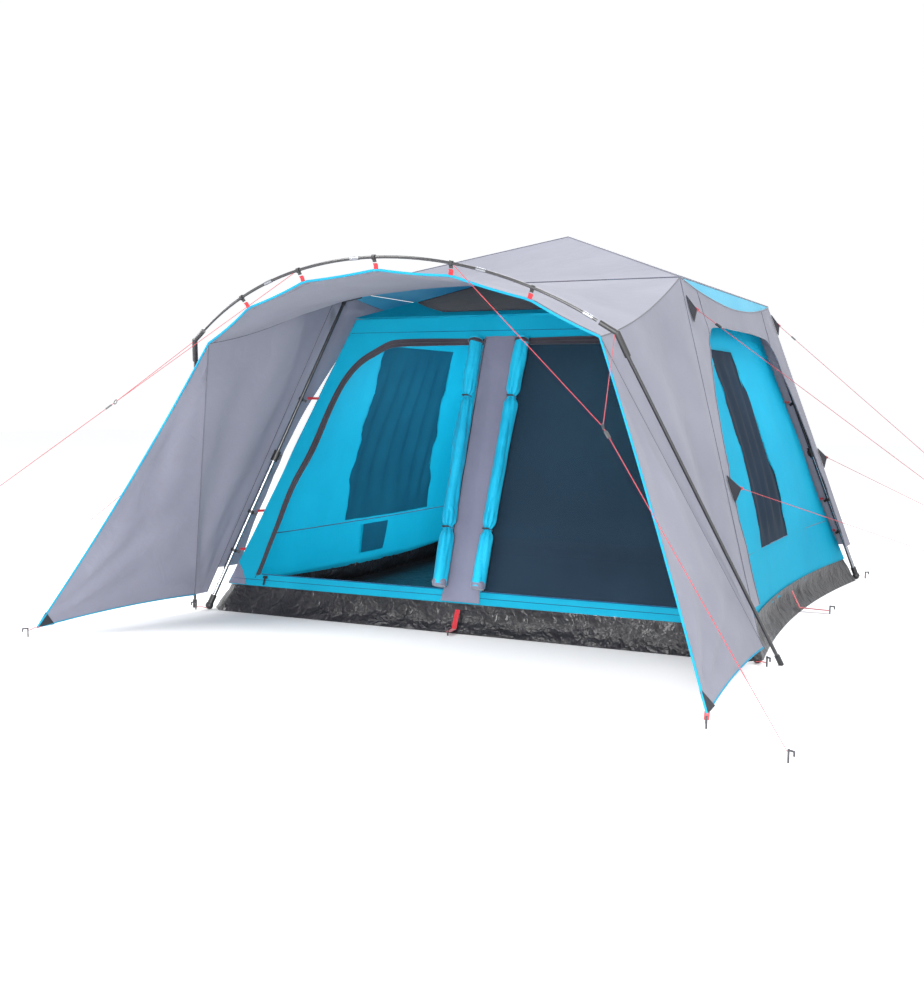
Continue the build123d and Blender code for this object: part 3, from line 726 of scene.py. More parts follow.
# ---- inner tent ----------------------------------------------------------------------
DOOR = [(1.215, 0.205), (1.160, 0.430), (1.105, 0.690), (1.020, 0.860), (0.960, 1.126), (0.880, 1.314),
        (0.700, 1.430), (0.620, 1.448), (0.105, 1.448), (0.105, 0.205)]
EDGE = 0.022


def wall_outline(z0, z1, low, top):
    slope = (low - top) / (WALL_TOP - SILL_H)
    half = [low - slope * (z - SILL_H) - EDGE for z in (z0, z1)]
    return [(-half[0], z0), (half[0], z0), (half[1], z1), (-half[1], z1)]


def rounded_door(side, grow=0.0):
    """Outline of one door, grown about its middle."""
    pts = smooth_loop(DOOR, 3, keep=(0, 8, 9))
    cx, cz = 0.62, 0.80
    out = []
    for x, z in pts:
        dx, dz = x - cx, z - cz
        d = math.hypot(dx, dz)
        out.append((side * (x + dx / d * grow), z + dz / d * grow))
    return out


def front_relief(x, z):
    """The front wall is held at its corners and pulled by the zips; it ripples between."""
    up = (z - SILL_H) / (WALL_TOP - SILL_H)
    edge = min(1.0, up * 6, (1 - up) * 6)
    pull = rays((x, z), (-1.36, 0.16), 9, 0.35) + rays((x, z), (1.36, 0.16), 9, 0.35)
    pull += rays((x, z), (-0.9, 1.58), 9, 0.3) + rays((x, z), (0.9, 1.58), 9, 0.3)
    soft = 0.006 * cloud((x, z * 0.6), 2.6, 5.0) + 0.003 * cloud((x, z * 0.5), 9.0, 2.0)
    return -0.006 + edge * (soft + 0.003 * pull)


def in_front(out):
    def place(x, z):
        return front_wall(x, z, out)
    return place


def on_front(run, lift):
    """Points of a line of (x, z) on the front wall, lifted off the cloth."""
    return [Vector(front_wall(x, z, lift + front_relief(x, z))) for x, z in run]


cloth("inner_front", ["inner_front_wall"], "fabric_blue", inner_share, "hung", ("lower_leg_fl", "lower_leg_fr"),
      BLUE, wall_outline(SILL_H + 0.002, WALL_TOP - 0.002, SILL_X, WALL_X), [rounded_door(-1), rounded_door(1)],
      in_front(0), step=0.035, relief=front_relief, outward=FORWARD)
cloth("door_mesh_panel", ["door_mesh"], "mesh_dark", inner_share, "hung", ("inner_front_wall",), MESH,
      rounded_door(1, 0.010), [], in_front(-0.004), thick=0.0010, relief=front_relief, outward=FORWARD)

for side, word in ((-1, "left"), (1, "right")):
    last = len(rounded_door(side)) - 1
    outer, inner = rounded_door(side, 0.038)[:last], rounded_door(side, -0.004)[:last]
    outer[0], inner[0] = (outer[0][0], 0.200), (inner[0][0], 0.200)
    band = Piece(f"door_zip_{word}")
    band.sheet(outer + inner[::-1], [], in_front(0.004), TAPE, step=0.02, relief=front_relief, outward=FORWARD)
    for grow, radius in ((0.016, 0.0028), (-0.002, 0.0032), (0.034, 0.0018)):
        run = rounded_door(side, grow)[:last]
        run = [q for i in range(len(run) - 1) for q in (run[i], mix(run[i], run[i + 1], 0.5))] + [run[-1]]
        band.tube(on_front(run, 0.006), radius, SEAM, sides=6)
    sill = [(side * (0.10 + 1.10 * i / 30), 0.203) for i in range(31)]
    band.tube(on_front(sill, 0.004), 0.0030, SEAM_BLUE, sides=6)
    place_piece(band.build(), ["door_zip_tapes"], inner_share)

# Seam under the roof, grey guards on the two lower front corners.
extras = Piece("inner_front_trim")
for z, reach in ((1.520, 0.93), (0.172, 1.38)):
    run = [(-reach + 2 * reach * i / 60, z) for i in range(61)]
    extras.tube(on_front(run, 0.0015), 0.0016, SEAM_BLUE, sides=6)
for side in (-1, 1):
    guard = [(side * 1.406, 0.146), (side * 1.290, 0.146), (side * 1.330, 0.215), (side * 1.372, 0.262)]
    extras.sheet(guard, [], in_front(0.003), STRIP, step=0.02, thick=0.001, relief=front_relief, outward=FORWARD)
place_piece(extras.build(), [], inner_share)


def rear_place(x, z):
    p = front_wall(x, z)
    return (x, -p[1], z)


def rear_relief(x, z):
    up = (z - SILL_H) / (WALL_TOP - SILL_H)
    edge = min(1.0, up * 6, (1 - up) * 6)
    return edge * (0.008 * cloud((x, z * 0.5), 2.0, 9.0) + 0.004 * cloud((x, z * 0.4), 7.0, 1.0) - 0.018) - 0.006


cloth("inner_rear", ["inner_rear_wall"], "fabric_blue", inner_share, "hung", ("lower_leg_rl", "lower_leg_rr"),
      BLUE, wall_outline(SILL_H + 0.002, WALL_TOP - 0.002, SILL_X, WALL_X), [], rear_place, step=0.06,
      relief=rear_relief, outward=(0, 1, 0.3))

# Window strips by side: front, rear and height of the lower edge, then of the upper edge.
WINDOWS = {-1: ((-0.400, 0.700, 0.440), (-0.450, 0.450, 1.460)),
           1: ((-0.500, 0.228, 0.415), (-0.500, -0.030, 1.432))}


def window_loop(side, grow=0.0):
    """Outline of a window strip, with wavy upright edges."""
    (a, b, z0), (c, d, z1) = WINDOWS[side]
    base = [(a - grow, z0 - grow), (b + grow, z0 - grow), (d + grow, z1 + grow), (c - grow, z1 + grow)]
    out = []
    for y, z in dense(base, 0.04):
        wave = 0.016 * math.sin(z * 19 + y * 5) + 0.008 * math.sin(z * 43)
        end = max(0.0, min(1.0, (z - z0) * 9, (z1 - z) * 9))
        out.append((y + wave * end, z))
    return out


def side_relief(y, z):
    up = (z - SILL_H) / (WALL_TOP - SILL_H)
    edge = min(1.0, up * 5, (1 - up) * 6)
    soft = 0.012 * cloud((y, z * 0.5), 1.9, 6.0) + 0.005 * cloud((y * 1.2, z * 0.35), 7.0, 3.0)
    pleat = 0.003 * math.sin(y * 60 + 3 * cloud((y, z), 2.0)) * math.exp(-((z - 0.2) / 0.16) ** 2)
    bow = side_bow(y) * math.exp(-(max(0.0, z - SILL_H) / 0.42) ** 2)
    return edge * (soft + pleat) - 0.006 - bow


def pleats(side):
    """Loose folds of the drawn window cloth, flat where it is sewn in at the top and bottom."""
    low, high = WINDOWS[side][0][2], WINDOWS[side][1][2]

    def relief(y, z):
        sewn = max(0.0, min(1.0, (z - low - 0.010) * 7, (high - 0.010 - z) * 7))
        fold = math.sin(y * 36 + 3.5 * cloud((y * 0.6, z * 0.8), 2.0, 4.0))
        fold += 0.4 * cloud((y * 2, z * 0.5), 9.0, 2.0)
        return side_relief(y, z) + (0.007 * fold + 0.002) * sewn
    return relief


for side, word in ((-1, "left"), (1, "right")):
    def at_side(y, z, s=side):
        return side_wall(y, z, s)

    def at_window(y, z, s=side):
        return side_wall(y, z, s, -0.004)

    hold = (f"lower_leg_f{word[0]}", f"lower_leg_r{word[0]}")
    cloth(f"inner_{word}", [f"inner_{word}_wall"], "fabric_blue", inner_share, "hung", hold, BLUE,
          wall_outline(SILL_H + 0.002, WALL_TOP - 0.002, SILL_Y, WALL_Y), [window_loop(side)], at_side,
          step=0.045, relief=side_relief, outward=(side, 0, 0.3))
    # The window's inner face is painted light: a lit teal in place of the dark mesh colour.
    cloth(f"window_{word}", ["window_meshes"], "mesh_dark", inner_share, "hung", (f"inner_{word}_wall",), WINDOW,
          window_loop(side, 0.012), [], at_window, step=0.022, thick=0.0010, relief=pleats(side),
          back=WINDOW_BACK_PAINTED_LIGHT, outward=(side, 0, 0.3))

# A seam low on each side wall and across the back, and a mesh pocket beside the left door.
wall_trim = Piece("inner_wall_trim")
run = [(-1.25 + 2.5 * i / 60, 0.395) for i in range(61)]
for side in (-1, 1):
    line = [Vector(side_wall(y, z, side, side_relief(y, z) - 0.003)) for y, z in run]
    wall_trim.tube(line, 0.003, SEAM_BLUE, sides=6)
rear_line = [Vector(rear_place(x, z)) + Vector((0, rear_relief(x, z) - 0.003, 0)) for x, z in run]
wall_trim.tube(rear_line, 0.003, SEAM_BLUE, sides=6)
# The pocket uses the window mesh's inner-face teal, which is painted light.
pocket = [(-0.180, 0.215), (0.100, 0.215), (0.120, 0.390), (-0.200, 0.390)]
wall_trim.sheet(pocket, [], lambda y, z: side_wall(y, z, -1, -0.014), WINDOW_BACK_PAINTED_LIGHT, step=0.03, thick=0.001,
                relief=side_relief, outward=(-1, 0, 0.3))
place_piece(wall_trim.build(), [], inner_share)

STRIP_LOOP = [(-0.108, 0.150), (0.108, 0.150), (0.100, 0.210), (0.104, 1.490), (-0.104, 1.490),
              (-0.100, 0.210)]
strip = Piece("centre_strip_cloth")
strip.sheet(STRIP_LOOP, [], in_front(0.009), STRIP, step=0.02, thick=0.0014,
            relief=lambda x, z: front_relief(x, z) + 0.002 * math.sin(x * 70 + z * 3), outward=FORWARD)
for x in (-0.096, 0.096):
    strip.tube(on_front([(x, 0.22 + 1.26 * t / 30) for t in range(31)], 0.0125), 0.0022, SEAM, sides=6)
place_piece(strip.build(), ["centre_strip"], inner_share)


def door_roll(side):
    """Outer door rolled into a loose bundle, pinched where the toggles hold it."""
    top, bottom = Vector(front_wall(side * 0.132, 1.478, 0.052)), Vector(front_wall(side * 0.105, 0.232, 0.054))
    axis = (top - bottom).normalized()
    e1 = Vector((1, 0, 0))
    e1 = (e1 - axis * e1.dot(axis)).normalized()
    e2 = axis.cross(e1)
    rings, around = 130, 48
    verts, faces = [], []
    for i in range(rings + 1):
        t = i / rings
        z = bottom.z + (top.z - bottom.z) * t
        near = sum(math.exp(-abs(z - tie) / 0.075) for tie in (1.170, 0.508))
        neck = sum(math.exp(-((z - tie) / 0.022) ** 2) for tie in (1.170, 0.508))
        swell = 0.90 + 0.16 * noise.noise(Vector((side * 3.0, t * 4, 0.3)))
        lean = Vector((0.006 * noise.noise(Vector((t * 5, side * 9.0, 2.0))), 0, 0)) * math.sin(math.pi * t)
        for k in range(around):
            a = 2 * math.pi * k / around
            fan = math.sin(7 * a + 2.0 * noise.noise(Vector((t * 3, side, 4.0)))) * near * 0.16
            fold = 0.20 * abs(math.sin(1.5 * a + 0.8 + 1.6 * noise.noise(Vector((t * 3, side, 0.1)))))
            fold += 0.12 * noise.noise(Vector((math.cos(a) * 1.6, math.sin(a) * 1.6 + side * 5, t * 9)))
            r = 0.042 * swell * (0.80 + fold + fan)
            r *= (1 - 0.50 * min(1.0, neck)) * (1 - 0.10 * min(1.0, near))
            verts.append(bottom.lerp(top, t) + lean + e1 * (r * math.cos(a)) + e2 * (r * math.sin(a)))
    for i in range(rings):
        for k in range(around):
            j = (k + 1) % around
            faces.append((i * around + k, i * around + j, (i + 1) * around + j, (i + 1) * around + k))
    for row, centre, flip in ((0, bottom, True), (rings, top, False)):
        verts.append(centre + axis * (0.004 if flip else -0.004))
        for k in range(around):
            tri = (row * around + k, row * around + (k + 1) % around, len(verts) - 1)
            faces.append(tri[::-1] if flip else tri)
    roll = Piece(f"door_roll_{'left' if side < 0 else 'right'}")
    roll.add(verts, faces, BLUE_IN)
    for z, height, radius, material in ((0.232, 0.036, 0.037, STRIP), (1.458, 0.020, 0.039, SEAM)):
        at = bottom.lerp(top, (z - bottom.z) / (top.z - bottom.z)) - axis * 0.008
        band_pts = [at + axis * (height * i / 4) for i in range(5)]
        roll.tube(band_pts, radius, material, sides=28, taper=lambda q: 0.90 + 0.14 * math.sin(math.pi * q))
    for z in (1.170, 0.508):
        centre = bottom.lerp(top, (z - bottom.z) / (top.z - bottom.z))
        turns = [2 * math.pi * i / 24 for i in range(24)]
        ring = [centre + (e1 * math.cos(q) + e2 * math.sin(q)) * 0.0225 for q in turns]
        roll.tube(ring, 0.0026, SEAM_BLUE, sides=6, closed=True)
        bar = centre - e2 * (0.029 if e2.y > 0 else -0.029)
        roll.tube([bar - e1 * 0.017, bar, bar + e1 * 0.017], 0.0042, BLACK, sides=10)
    return roll.build()


for side in (-1, 1):
    place_piece(door_roll(side), ["door_rolls", "door_roll_ties"], inner_share)

# ---- inner roof with its mesh panel ----------------------------------------------------
INNER_X, INNER_Y, INNER_Z, INNER_APEX = WALL_X - 0.006, WALL_Y - 0.006, WALL_TOP + 0.006, 1.975


def roof_panel(half_x, half_y, z, apex, k):
    """Panel k of a pyramid roof: 0 front, 1 right, 2 rear, 3 left; returns outline and place in metres."""
    half, away = (half_x, half_y) if k % 2 == 0 else (half_y, half_x)
    slant = math.hypot(apex - z, away)

    def place(u, v):
        t = v / slant
        out_by, height = away * (1 - t), z + (apex - z) * t
        return ((u, -out_by, height), (out_by, u, height), (-u, out_by, height), (-out_by, -u, height))[k]
    return [(-half, 0), (half, 0), (0, slant)], place, half, slant


def sag(half, slant, depth, seed):
    """Relief of a roof panel that hangs in by depth between its edges."""
    def relief(u, v):
        room = min(v, (half * (1 - v / slant) - abs(u)) * slant / math.hypot(half, slant))
        belly = 1 - math.exp(-max(0.0, room) / 0.16)
        return -depth * belly + 0.003 * cloud((u, v), 4.0, seed) * belly
    return relief


MESH_LOOP = [(-0.640, 0.24), (-0.400, 0.06), (0.400, 0.06), (0.640, 0.24), (0.330, 0.60), (-0.330, 0.60)]
for k, word in enumerate(("front", "right", "rear", "left")):
    outline, place, half, slant = roof_panel(INNER_X, INNER_Y, INNER_Z, INNER_APEX, k)
    relief = sag(half, slant, 0.010, 20.0 + k)
    cloth(f"inner_roof_{word}", ["inner_roof"], "fabric_blue", ROOF, "hung", ("roof_poles",), BLUE, outline, [],
          place, step=0.07, relief=relief, outward=UP)
    if k == 0:
        def over_roof(u, v, p=place):
            return Vector(p(u, v)) + Vector((0, -0.003, 0.006))

        loop_uv = [(x, t * slant) for x, t in MESH_LOOP]
        rim = [over_roof(u, v) + Vector((0, -0.001, 0.002 + relief(u, v))) for u, v in dense(loop_uv, 0.04)]
        mesh_piece = Piece("roof_mesh_cloth")
        mesh_piece.sheet(loop_uv, [], over_roof, MESH, step=0.05, thick=0.001, relief=relief, outward=UP)
        mesh_piece.tube(rim, 0.003, SEAM, sides=6, closed=True)
        place_piece(mesh_piece.build(), ["roof_mesh"], ROOF)

# ---- flysheet ----------------------------------------------------------------------------
for k, word in enumerate(("front", "right", "rear", "left")):
    outline, place, half, slant = roof_panel(FLY_X, FLY_Y, FLY_Z, APEX_Z, k)
    material = GREY if k % 2 == 0 else CYAN
    relief = sag(half, slant, 0.020, 40.0 + k)
    trim = Piece(f"fly_eave_seam_{word}")
    eave = [Vector(place(-half + 2 * half * i / 40, 0.002)) for i in range(41)]
    trim.tube(eave, 0.0025, SEAM_GREY, sides=6)
    ridge = [Vector(place(half * (1 - i / 30), slant * i / 30)) + Vector((0, 0, 0.001)) for i in range(31)]
    trim.tube(ridge, 0.0028, SEAM_GREY, sides=6)
    trim_obj = place_piece(trim.build(), [], ROOF)
    cloth(f"fly_roof_{word}", ["fly_roof"], "fabric_grey" if k % 2 == 0 else "fabric_blue", ROOF, "stretched",
          ("roof_poles", "roof_hub"), material, outline, [], place, trims=(trim_obj,), step=0.05, relief=relief,
          outward=UP)

TOP_Z = FLY_Z - 0.004
ARCHWAY = [(-1.289, 0.230), (-1.245, 0.500), (-1.090, 1.020), (-0.830, 1.400), (-0.760, 1.500), (-0.640, 1.545)]


def band_z(y):
    """Lower edge of the pale roof cloth where it turns over the eave."""
    return TOP_Z - 0.085 * max(0.0, 1 - (y / FLY_Y) ** 2)


def fly_relief(y, z):
    up = (z - FLY_HEM_Z) / (TOP_Z - FLY_HEM_Z)
    top = min(1.0, (1 - up) * 8, 0.02 + (fly_corner_y(z) - abs(y)) * 9)
    soft = 0.010 * cloud((y, z * 0.6), 2.4, 12.0) + 0.004 * cloud((y, z * 0.6), 8.0, 7.0)
    pull = sum(rays((y, z), c, 10, 0.30) for c in ((-0.98, 1.62), (1.05, 1.62), (-1.23, 0.75), (1.36, 0.80)))
    return top * (soft + 0.005 * pull - 0.004)


def rounded_archway():
    """Opening in the fly side, its upper corners rounded by corner cutting."""
    arch = ARCHWAY + [(-y, z) for y, z in reversed(ARCHWAY)]
    for _ in range(3):
        cut = [arch[0]]
        for p, q in zip(arch, arch[1:]):
            cut += [mix(p, q, 0.25), mix(p, q, 0.75)]
        arch = cut + [arch[-1]]
    return arch


def fly_line(run, side):
    """Points of a line of (y, z) on a fly side, just off the cloth."""
    return [Vector(fly_side(y, z, side, 0.001 + fly_relief(y, z))) for y, z in run]


SEAM_Y = 0.760
for side, word in ((-1, "left"), (1, "right")):
    def on_fly(y, z, s=side):
        return fly_side(y, z, s)

    hem_y, top_y = fly_corner_y(FLY_HEM_Z), fly_corner_y(TOP_Z)
    arch = rounded_archway()
    curve = [(top_y * (1 - 2 * i / 24), band_z(top_y * (1 - 2 * i / 24))) for i in range(25)]
    rear_part = [p for p in curve if p[0] > 0.80]
    mid_part = [p for p in curve if -0.70 < p[0] < 0.70]
    front_part = [p for p in curve if p[0] < -0.80]
    seam_low = min((p for p in arch if p[0] < 0), key=lambda p: abs(p[0] + SEAM_Y))
    left_arch = [p for p in arch if p[0] < seam_low[0] - 1e-6]
    mid_arch = [p for p in arch if abs(p[0]) < -seam_low[0] - 1e-6]
    right_arch = [(-y, z) for y, z in reversed(left_arch)]
    high_l, high_r = (seam_low[0], band_z(seam_low[0])), (-seam_low[0], band_z(seam_low[0]))
    cuts = {"front": [(-hem_y, FLY_HEM_Z), *left_arch, seam_low, high_l, *front_part],
            "middle": [seam_low, *mid_arch, (-seam_low[0], seam_low[1]), high_r, *mid_part, high_l],
            "rear": [(-seam_low[0], seam_low[1]), *right_arch, (hem_y, FLY_HEM_Z), *rear_part, high_r]}
    trim = Piece(f"fly_hem_{word}")
    trim.tube(fly_line(arch, side), 0.003, SEAM_GREY, sides=6)
    trim.tube(fly_line(curve, side), 0.0025, SEAM_GREY, sides=6)
    for y0 in (-SEAM_Y, SEAM_Y):
        z0, z1 = seam_low[1], band_z(y0)
        upright = [(y0, z0 + (z1 - z0) * i / 8) for i in range(9)]
        trim.tube(fly_line(upright, side), 0.0018, SEAM_GREY, sides=6)
    trim_obj = place_piece(trim.build(), [], fly_share)
    for part, outline in cuts.items():
        cloth(f"fly_side_{word}_{part}", [f"fly_{word}_side"], "fabric_grey", fly_share, "stretched",
              ("frame_elbows",), GREY, outline, [], on_fly, trims=(trim_obj,) if part == "middle" else (),
              relief=fly_relief, outward=(side, 0, 0.2))
    over = Piece(f"fly_turn_{word}")
    crescent = [*curve[-2::-1], (top_y, TOP_Z), (-top_y, TOP_Z)]
    over.sheet(crescent, [], on_fly, CYAN, relief=fly_relief, outward=(side, 0, 0.2))
    place_piece(over.build(), [f"fly_{word}_side"], fly_share)


def fly_rear(x, z):
    return (x, fly_corner_y(z), z)


hem_x, top_x = fly_half_x(FLY_HEM_Z), fly_half_x(TOP_Z)
cloth("fly_rear", ["fly_rear_wall"], "fabric_grey", fly_share, "stretched", ("frame_elbows",), GREY,
      [(-hem_x, FLY_HEM_Z), (hem_x, FLY_HEM_Z), (top_x, TOP_Z), (-top_x, TOP_Z)], [], fly_rear, step=0.06,
      relief=fly_relief, outward=(0, 1, 0.2))

# ---- porch -----------------------------------------------------------------------------
CANOPY_ANGLE = 37.0
EAVE_X, EAVE_Y = 0.960, FLY_Y + 0.012
ARC_LENGTH = 2 * math.radians(CANOPY_ANGLE) * CANOPY_R
CANOPY_DEPTH = 0.95
SIDE_SAG = 0.045


HOOK_ANGLES = (-25.2, -12.9, 0.6, 12.9, 25.4)


def edge_dip(a):
    """The front edge runs straight from hook to hook, so it dips below the arc between them."""
    stops = (-CANOPY_ANGLE, *HOOK_ANGLES, CANOPY_ANGLE)
    low, high = max((p, q) for p, q in zip(stops, stops[1:]) if p <= a + 1e-9)
    t = min(1.0, (a - low) / (high - low))
    return 0.015 * 4 * t * (1 - t)


def canopy_place(u, v):
    """Point at u along the arch and v back towards the eave."""
    a = min(CANOPY_ANGLE, max(-CANOPY_ANGLE, u / ARC_LENGTH * 2 * CANOPY_ANGLE))
    front_edge = arch_arc_point(a, CANOPY_R - edge_dip(a))
    back_edge = (2 * EAVE_X * u / ARC_LENGTH, -EAVE_Y + 0.010, FLY_Z - 0.003)
    t = v / CANOPY_DEPTH
    x, y, z = mix(front_edge, back_edge, t)
    return (x, y, z - SIDE_SAG * 4 * t * (1 - t) * (2 * abs(u) / ARC_LENGTH) ** 3)


def canopy_relief(u, v):
    t = v / CANOPY_DEPTH
    edge = min(1.0, t * 5, (1 - t) * 6, (0.5 - abs(u) / ARC_LENGTH) * 12)
    pull = sum(rays((u, v), (math.radians(a) * CANOPY_R, 0.0), 8, 0.16) for a in HOOK_ANGLES)
    soft = 0.004 * cloud((u, v), 2.6, 31.0) + 0.004 * cloud((u * 0.6, v * 2), 6.0, 2.0)
    return edge * (soft + 0.003 * pull - 0.014)


def canopy_share(p):
    front = ARCH_Y - ARCH_LEAN * p[2]
    return (p[1] - front) / max(0.05, -EAVE_Y - front)


half_arc = ARC_LENGTH / 2
canopy_trim = Piece("canopy_piping")
for back, drop, radius, material, sides in ((0.0, 0.0, 0.0055, PIPING, 8), (0.030, 0.002, 0.0018, SEAM, 6)):
    run = [Vector(canopy_place(-half_arc + ARC_LENGTH * i / 60, back)) - Vector((0, 0, drop)) for i in range(61)]
    canopy_trim.tube(run, radius, material, sides=sides)
canopy_trim_obj = place_piece(canopy_trim.build(), [], canopy_share)
cloth("canopy_cloth", ["canopy"], "fabric_grey", canopy_share, "stretched", ("arch_hooks", "frame_elbows"), GREY,
      [(-half_arc, 0), (half_arc, 0), (half_arc, CANOPY_DEPTH), (-half_arc, CANOPY_DEPTH)], [], canopy_place,
      trims=(canopy_trim_obj,), relief=canopy_relief, outward=(0, -0.2, 1))


def wing_cloth(word, corners, sags, centres, piped):
    """Pegged three-cornered sheet with hollow-cut edges, creased from the corners it is pulled by."""
    name = f"wing_{word}_cloth"
    to_uv, place = flat_frame(*corners)
    flat = [to_uv(c) for c in corners]
    outline = []
    for i in range(3):
        outline += bowed(flat[i], flat[(i + 1) % 3], sags[i], 14)
    pulls = [to_uv(c) for c in centres]

    def relief(u, v):
        edge = min(1.0, edge_distance((u, v), outline) * 10)
        pull = sum(rays((u, v), c, 16, 0.9) for c in pulls)
        soft = 0.010 * cloud((u, v), 2.2, 50.0) + 0.004 * cloud((u, v), 7.0, 5.0)
        return edge * (soft + 0.014 * pull - 0.004)

    trim = Piece(f"{name}_edge")
    for i, radius in piped:
        run = bowed(flat[i], flat[(i + 1) % 3], sags[i], 24) + [flat[(i + 1) % 3]]
        trim.tube([Vector(place(*p)) for p in run], radius, PIPING, sides=8)
    trim_obj = place_piece(trim.build(), [], ROOT)
    cloth(name, [f"wing_{word}"], "fabric_grey", ROOT, "stretched", ("arch_fittings", "pegs"), GREY, outline, [],
          place, trims=[trim_obj], step=0.035, relief=relief, outward=(0, -1, 0))
    return place, to_uv


WING_TIPS = {-1: (-1.735, -2.545, 0.042), 1: (1.560, -2.672, 0.042)}
WING_PEGS = {-1: (-1.760, -2.579), 1: (1.570, -2.720)}
for side, word in ((-1, "left"), (1, "right")):
    knee = Vector(arch_arc_point(side * CANOPY_ANGLE, CANOPY_R))
    eave_corner = Vector((side * EAVE_X, -EAVE_Y + 0.010, FLY_Z - 0.003))
    foot_rear = Vector((side * 1.4995, -1.5175, 0.095))
    foot_front = Vector((side * 1.530, -1.585, 0.088))
    width, height = 0.56, 1.78

    def side_place(u, v, k=knee, e=eave_corner, r=foot_rear, f=foot_front):
        s, t = u / width, v / height
        low, high = f.lerp(r, s), k.lerp(e, s)
        edge_sag = Vector((0, 0, -SIDE_SAG * 4 * s * (1 - s))) * t ** 3
        return low.lerp(high, t) + edge_sag

    def side_folds(u, v):
        s, t = u / width, v / height
        room = min(1.0, s * 8, (1 - s) * 8, t * 6, (1 - t) * 5)
        folds = 0.018 * math.sin(9.0 * s + 2.2 * cloud((s, t * 1.5), 1.4, 5.0)) * t ** 0.5
        crease = 0.007 * cloud((s * 1.3, t * 2.0), 4.0, 17.0)
        return room * (folds + crease)

    def side_share(p, k=knee, e=eave_corner, f=foot_rear):
        n = (e - k).cross(f - k)
        return (Vector(p) - k).cross(f - k).dot(n) / n.length_squared

    seam = Piece(f"porch_seam_{word}")
    seam.tube([side_place(width * i / 24, height) for i in range(25)], 0.003, SEAM, sides=6)
    seam.tube([side_place(width, height * i / 24) for i in range(25)], 0.0035, SEAM_GREY, sides=6)
    seam.tube([side_place(0, height * i / 24) for i in range(25)], 0.003, SEAM_GREY, sides=6)
    seam_obj = place_piece(seam.build(), [], side_share)
    cloth(f"porch_side_{word}_cloth", [f"porch_side_{word}"], "fabric_grey", side_share, "stretched",
          ("arch_pole", "frame_elbows"), GREY, [(0, 0), (width, 0), (width, height), (0, height)], [], side_place,
          trims=(seam_obj,), step=0.035, relief=side_folds, outward=(side, 0, 0))
    tip = Vector(WING_TIPS[side])
    corners = (knee, tip, foot_front) if side < 0 else (knee, foot_front, tip)
    sags = (0.03, 0.02, 0.0) if side < 0 else (0.0, 0.02, 0.03)
    place, to_uv = wing_cloth(word, corners, sags, (knee, tip), ((0 if side < 0 else 2, 0.005), (1, 0.004)))

    # Dark corner patch where the wing is pegged.
    t, p, f = to_uv(knee), to_uv(tip), to_uv(foot_front)
    normal = (place(1, 0) - place(0, 0)).cross(place(0, 1) - place(0, 0)).normalized()
    patch = Piece(f"wing_patch_{word}")
    for lift in (0.003, -0.0045):
        def lifted(u, v, off=normal * lift, place=place):
            return place(u, v) + off
        patch.sheet([p, mix(p, t, 0.055), mix(p, f, 0.10)], [], lifted, PATCH, step=0.02, thick=0.001)
    place_piece(patch.build(), [], ROOT)

# Pull-out patches on the fly, with the loop that the side guys tie to.
for key, (tip, peg) in PULLOUTS.items():
    side = 1 if tip[0] > 0 else -1
    high, low = tip[2] + 0.062, tip[2] - 0.062
    if tip[1] < 0:
        base_high = fly_side(tip[1] - 0.084, high, side, 0.006)
        base_low = fly_side(tip[1] - 0.074, low, side, 0.006)
    else:
        base_high, base_low = (fly_side(fly_corner_y(h) - 0.014, h, side, 0.006) for h in (high, low))
    to_uv, place = flat_frame(tip, base_high, base_low)
    patch = Piece(f"pullout_{key}")
    outline = [to_uv(tip), to_uv(base_high), to_uv(base_low)]
    patch.sheet(outline, [], place, PATCH, step=0.02, thick=0.0024)
    ends = [Vector(p) for p in (base_high, tip, base_low)]
    patch.tube([ends[0].lerp(ends[1], i / 8) for i in range(9)], 0.0024, SEAM, sides=6)
    patch.tube([ends[1].lerp(ends[2], i / 8) for i in range(9)], 0.0024, SEAM, sides=6)
    d = (Vector((*peg, HOLD_Z)) - Vector(tip)).normalized()
    patch.strap([Vector(tip) - d * 0.022, Vector(tip) + d * 0.009], 0.014, 0.003, WEBBING, (0, 0, 1))
    share = (lambda p: 1.0) if key.startswith("side") else fly_share
    place_piece(patch.build(), ["pullout_patches"], share)

# ---- webbing -----------------------------------------------------------------------------
straps = Piece("webbing_straps")
for angle in HOOK_ANGLES:
    centre, below = Vector(arch_arc_point(angle)), Vector(arch_arc_point(angle, CANOPY_R))
    down = (below - centre).normalized()
    along = (Vector(arch_arc_point(angle + 0.5)) - centre).normalized()
    bow = along.cross(down) * 0.004
    run = [centre + down * 0.0275, centre + down * 0.036 + bow, centre + down * 0.048, centre + down * 0.060]
    straps.strap(run, 0.020, 0.0022, WEBBING, along)


def loop_strap(a, b, width):
    a, b = Vector(a), Vector(b)
    mid = a.lerp(b, 0.5) + Vector((0, 0, 0.004))
    straps.strap([a, mid, b], width, 0.0022, WEBBING, (b - a).cross(Vector((0, 0, 1))))


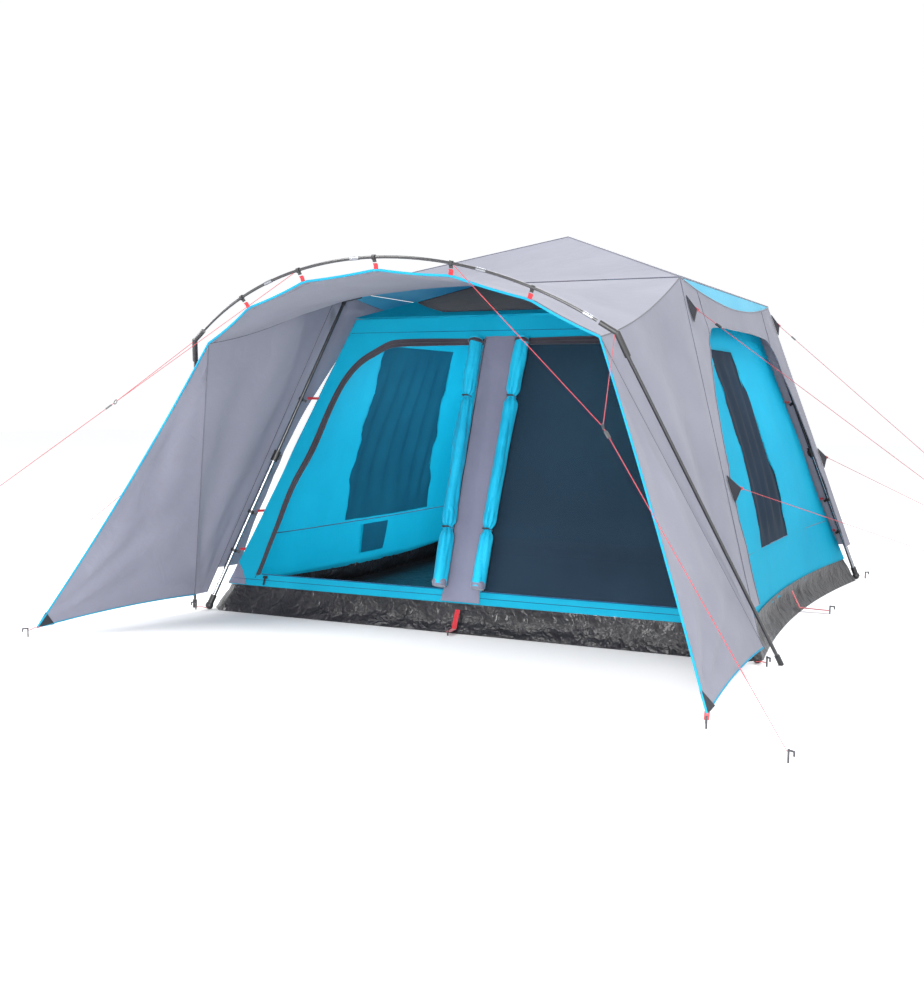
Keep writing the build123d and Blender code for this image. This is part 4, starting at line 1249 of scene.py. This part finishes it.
for side, (px, py) in WING_PEGS.items():
    a, b = Vector(WING_TIPS[side]), Vector((px, py, HOLD_Z))
    d = (b - a).normalized()
    loop_strap(a - d * 0.02, b - d * 0.006, 0.020)
for sx, sy in CORNERS.values():
    px, py = sx * (1.490 + 0.052), sy * (1.508 + 0.052)
    loop_strap((sx * (BASE_X - 0.012), sy * (BASE_Y + 0.020), 0.012), (px - sx * 0.003, py - sy * 0.007, 0.016), 0.012)
for dx, dy in ((0, -1), (0, 1), (-1, 0), (1, 0)):
    foot = Vector((dx * BASE_X, dy * BASE_Y, 0))
    out, inset = Vector((dx, dy, 0)), SIDE_BOW if dx else 0.0
    wall_run = [foot - out * (inset + 0.070 * h / SILL_H - 0.006) + Vector((0, 0, h))
                for h in (0.112, 0.080, 0.050, 0.022)]
    hold = foot + out * 0.057 + Vector((0, 0, 0.018))
    straps.strap([*wall_run, hold], 0.026, 0.0024, WEBBING, (abs(dy), abs(dx), 0))
place_piece(straps.build(), ["webbing"], ROOT)

# Short elastic straps from the leg clips to the corner seams of the inner.
FOOT, ELBOW = Vector((1.490, 1.508, 0.022)), Vector((0.930, 0.985, 1.716))
SLOPE_X, SLOPE_Y = (SILL_X - WALL_X) / (WALL_TOP - SILL_H), (SILL_Y - WALL_Y) / (WALL_TOP - SILL_H)
for corner, (sx, sy) in CORNERS.items():
    reach = Piece(f"clip_straps_{corner}")
    inward = Vector((-sx, -sy, 0)).normalized()
    for distance in (0.330, 0.560, 1.240):
        at = FOOT.lerp(ELBOW, distance / (ELBOW - FOOT).length)
        a = Vector((sx * at.x, sy * at.y, at.z)) + inward * 0.036 + Vector((0, 0, 0.004))
        seam_x = SILL_X - SLOPE_X * (a.z - SILL_H) - EDGE
        seam_y = SILL_Y - SLOPE_Y * (a.z - SILL_H) - EDGE
        seam_at = Vector((sx * seam_x, sy * seam_y, a.z))
        reach.strap([a, a.lerp(seam_at, 0.5), seam_at], 0.014, 0.0022, WEBBING, (0, 0, 1))
    place_piece(reach.build(), [], f"lower_leg_{corner}")
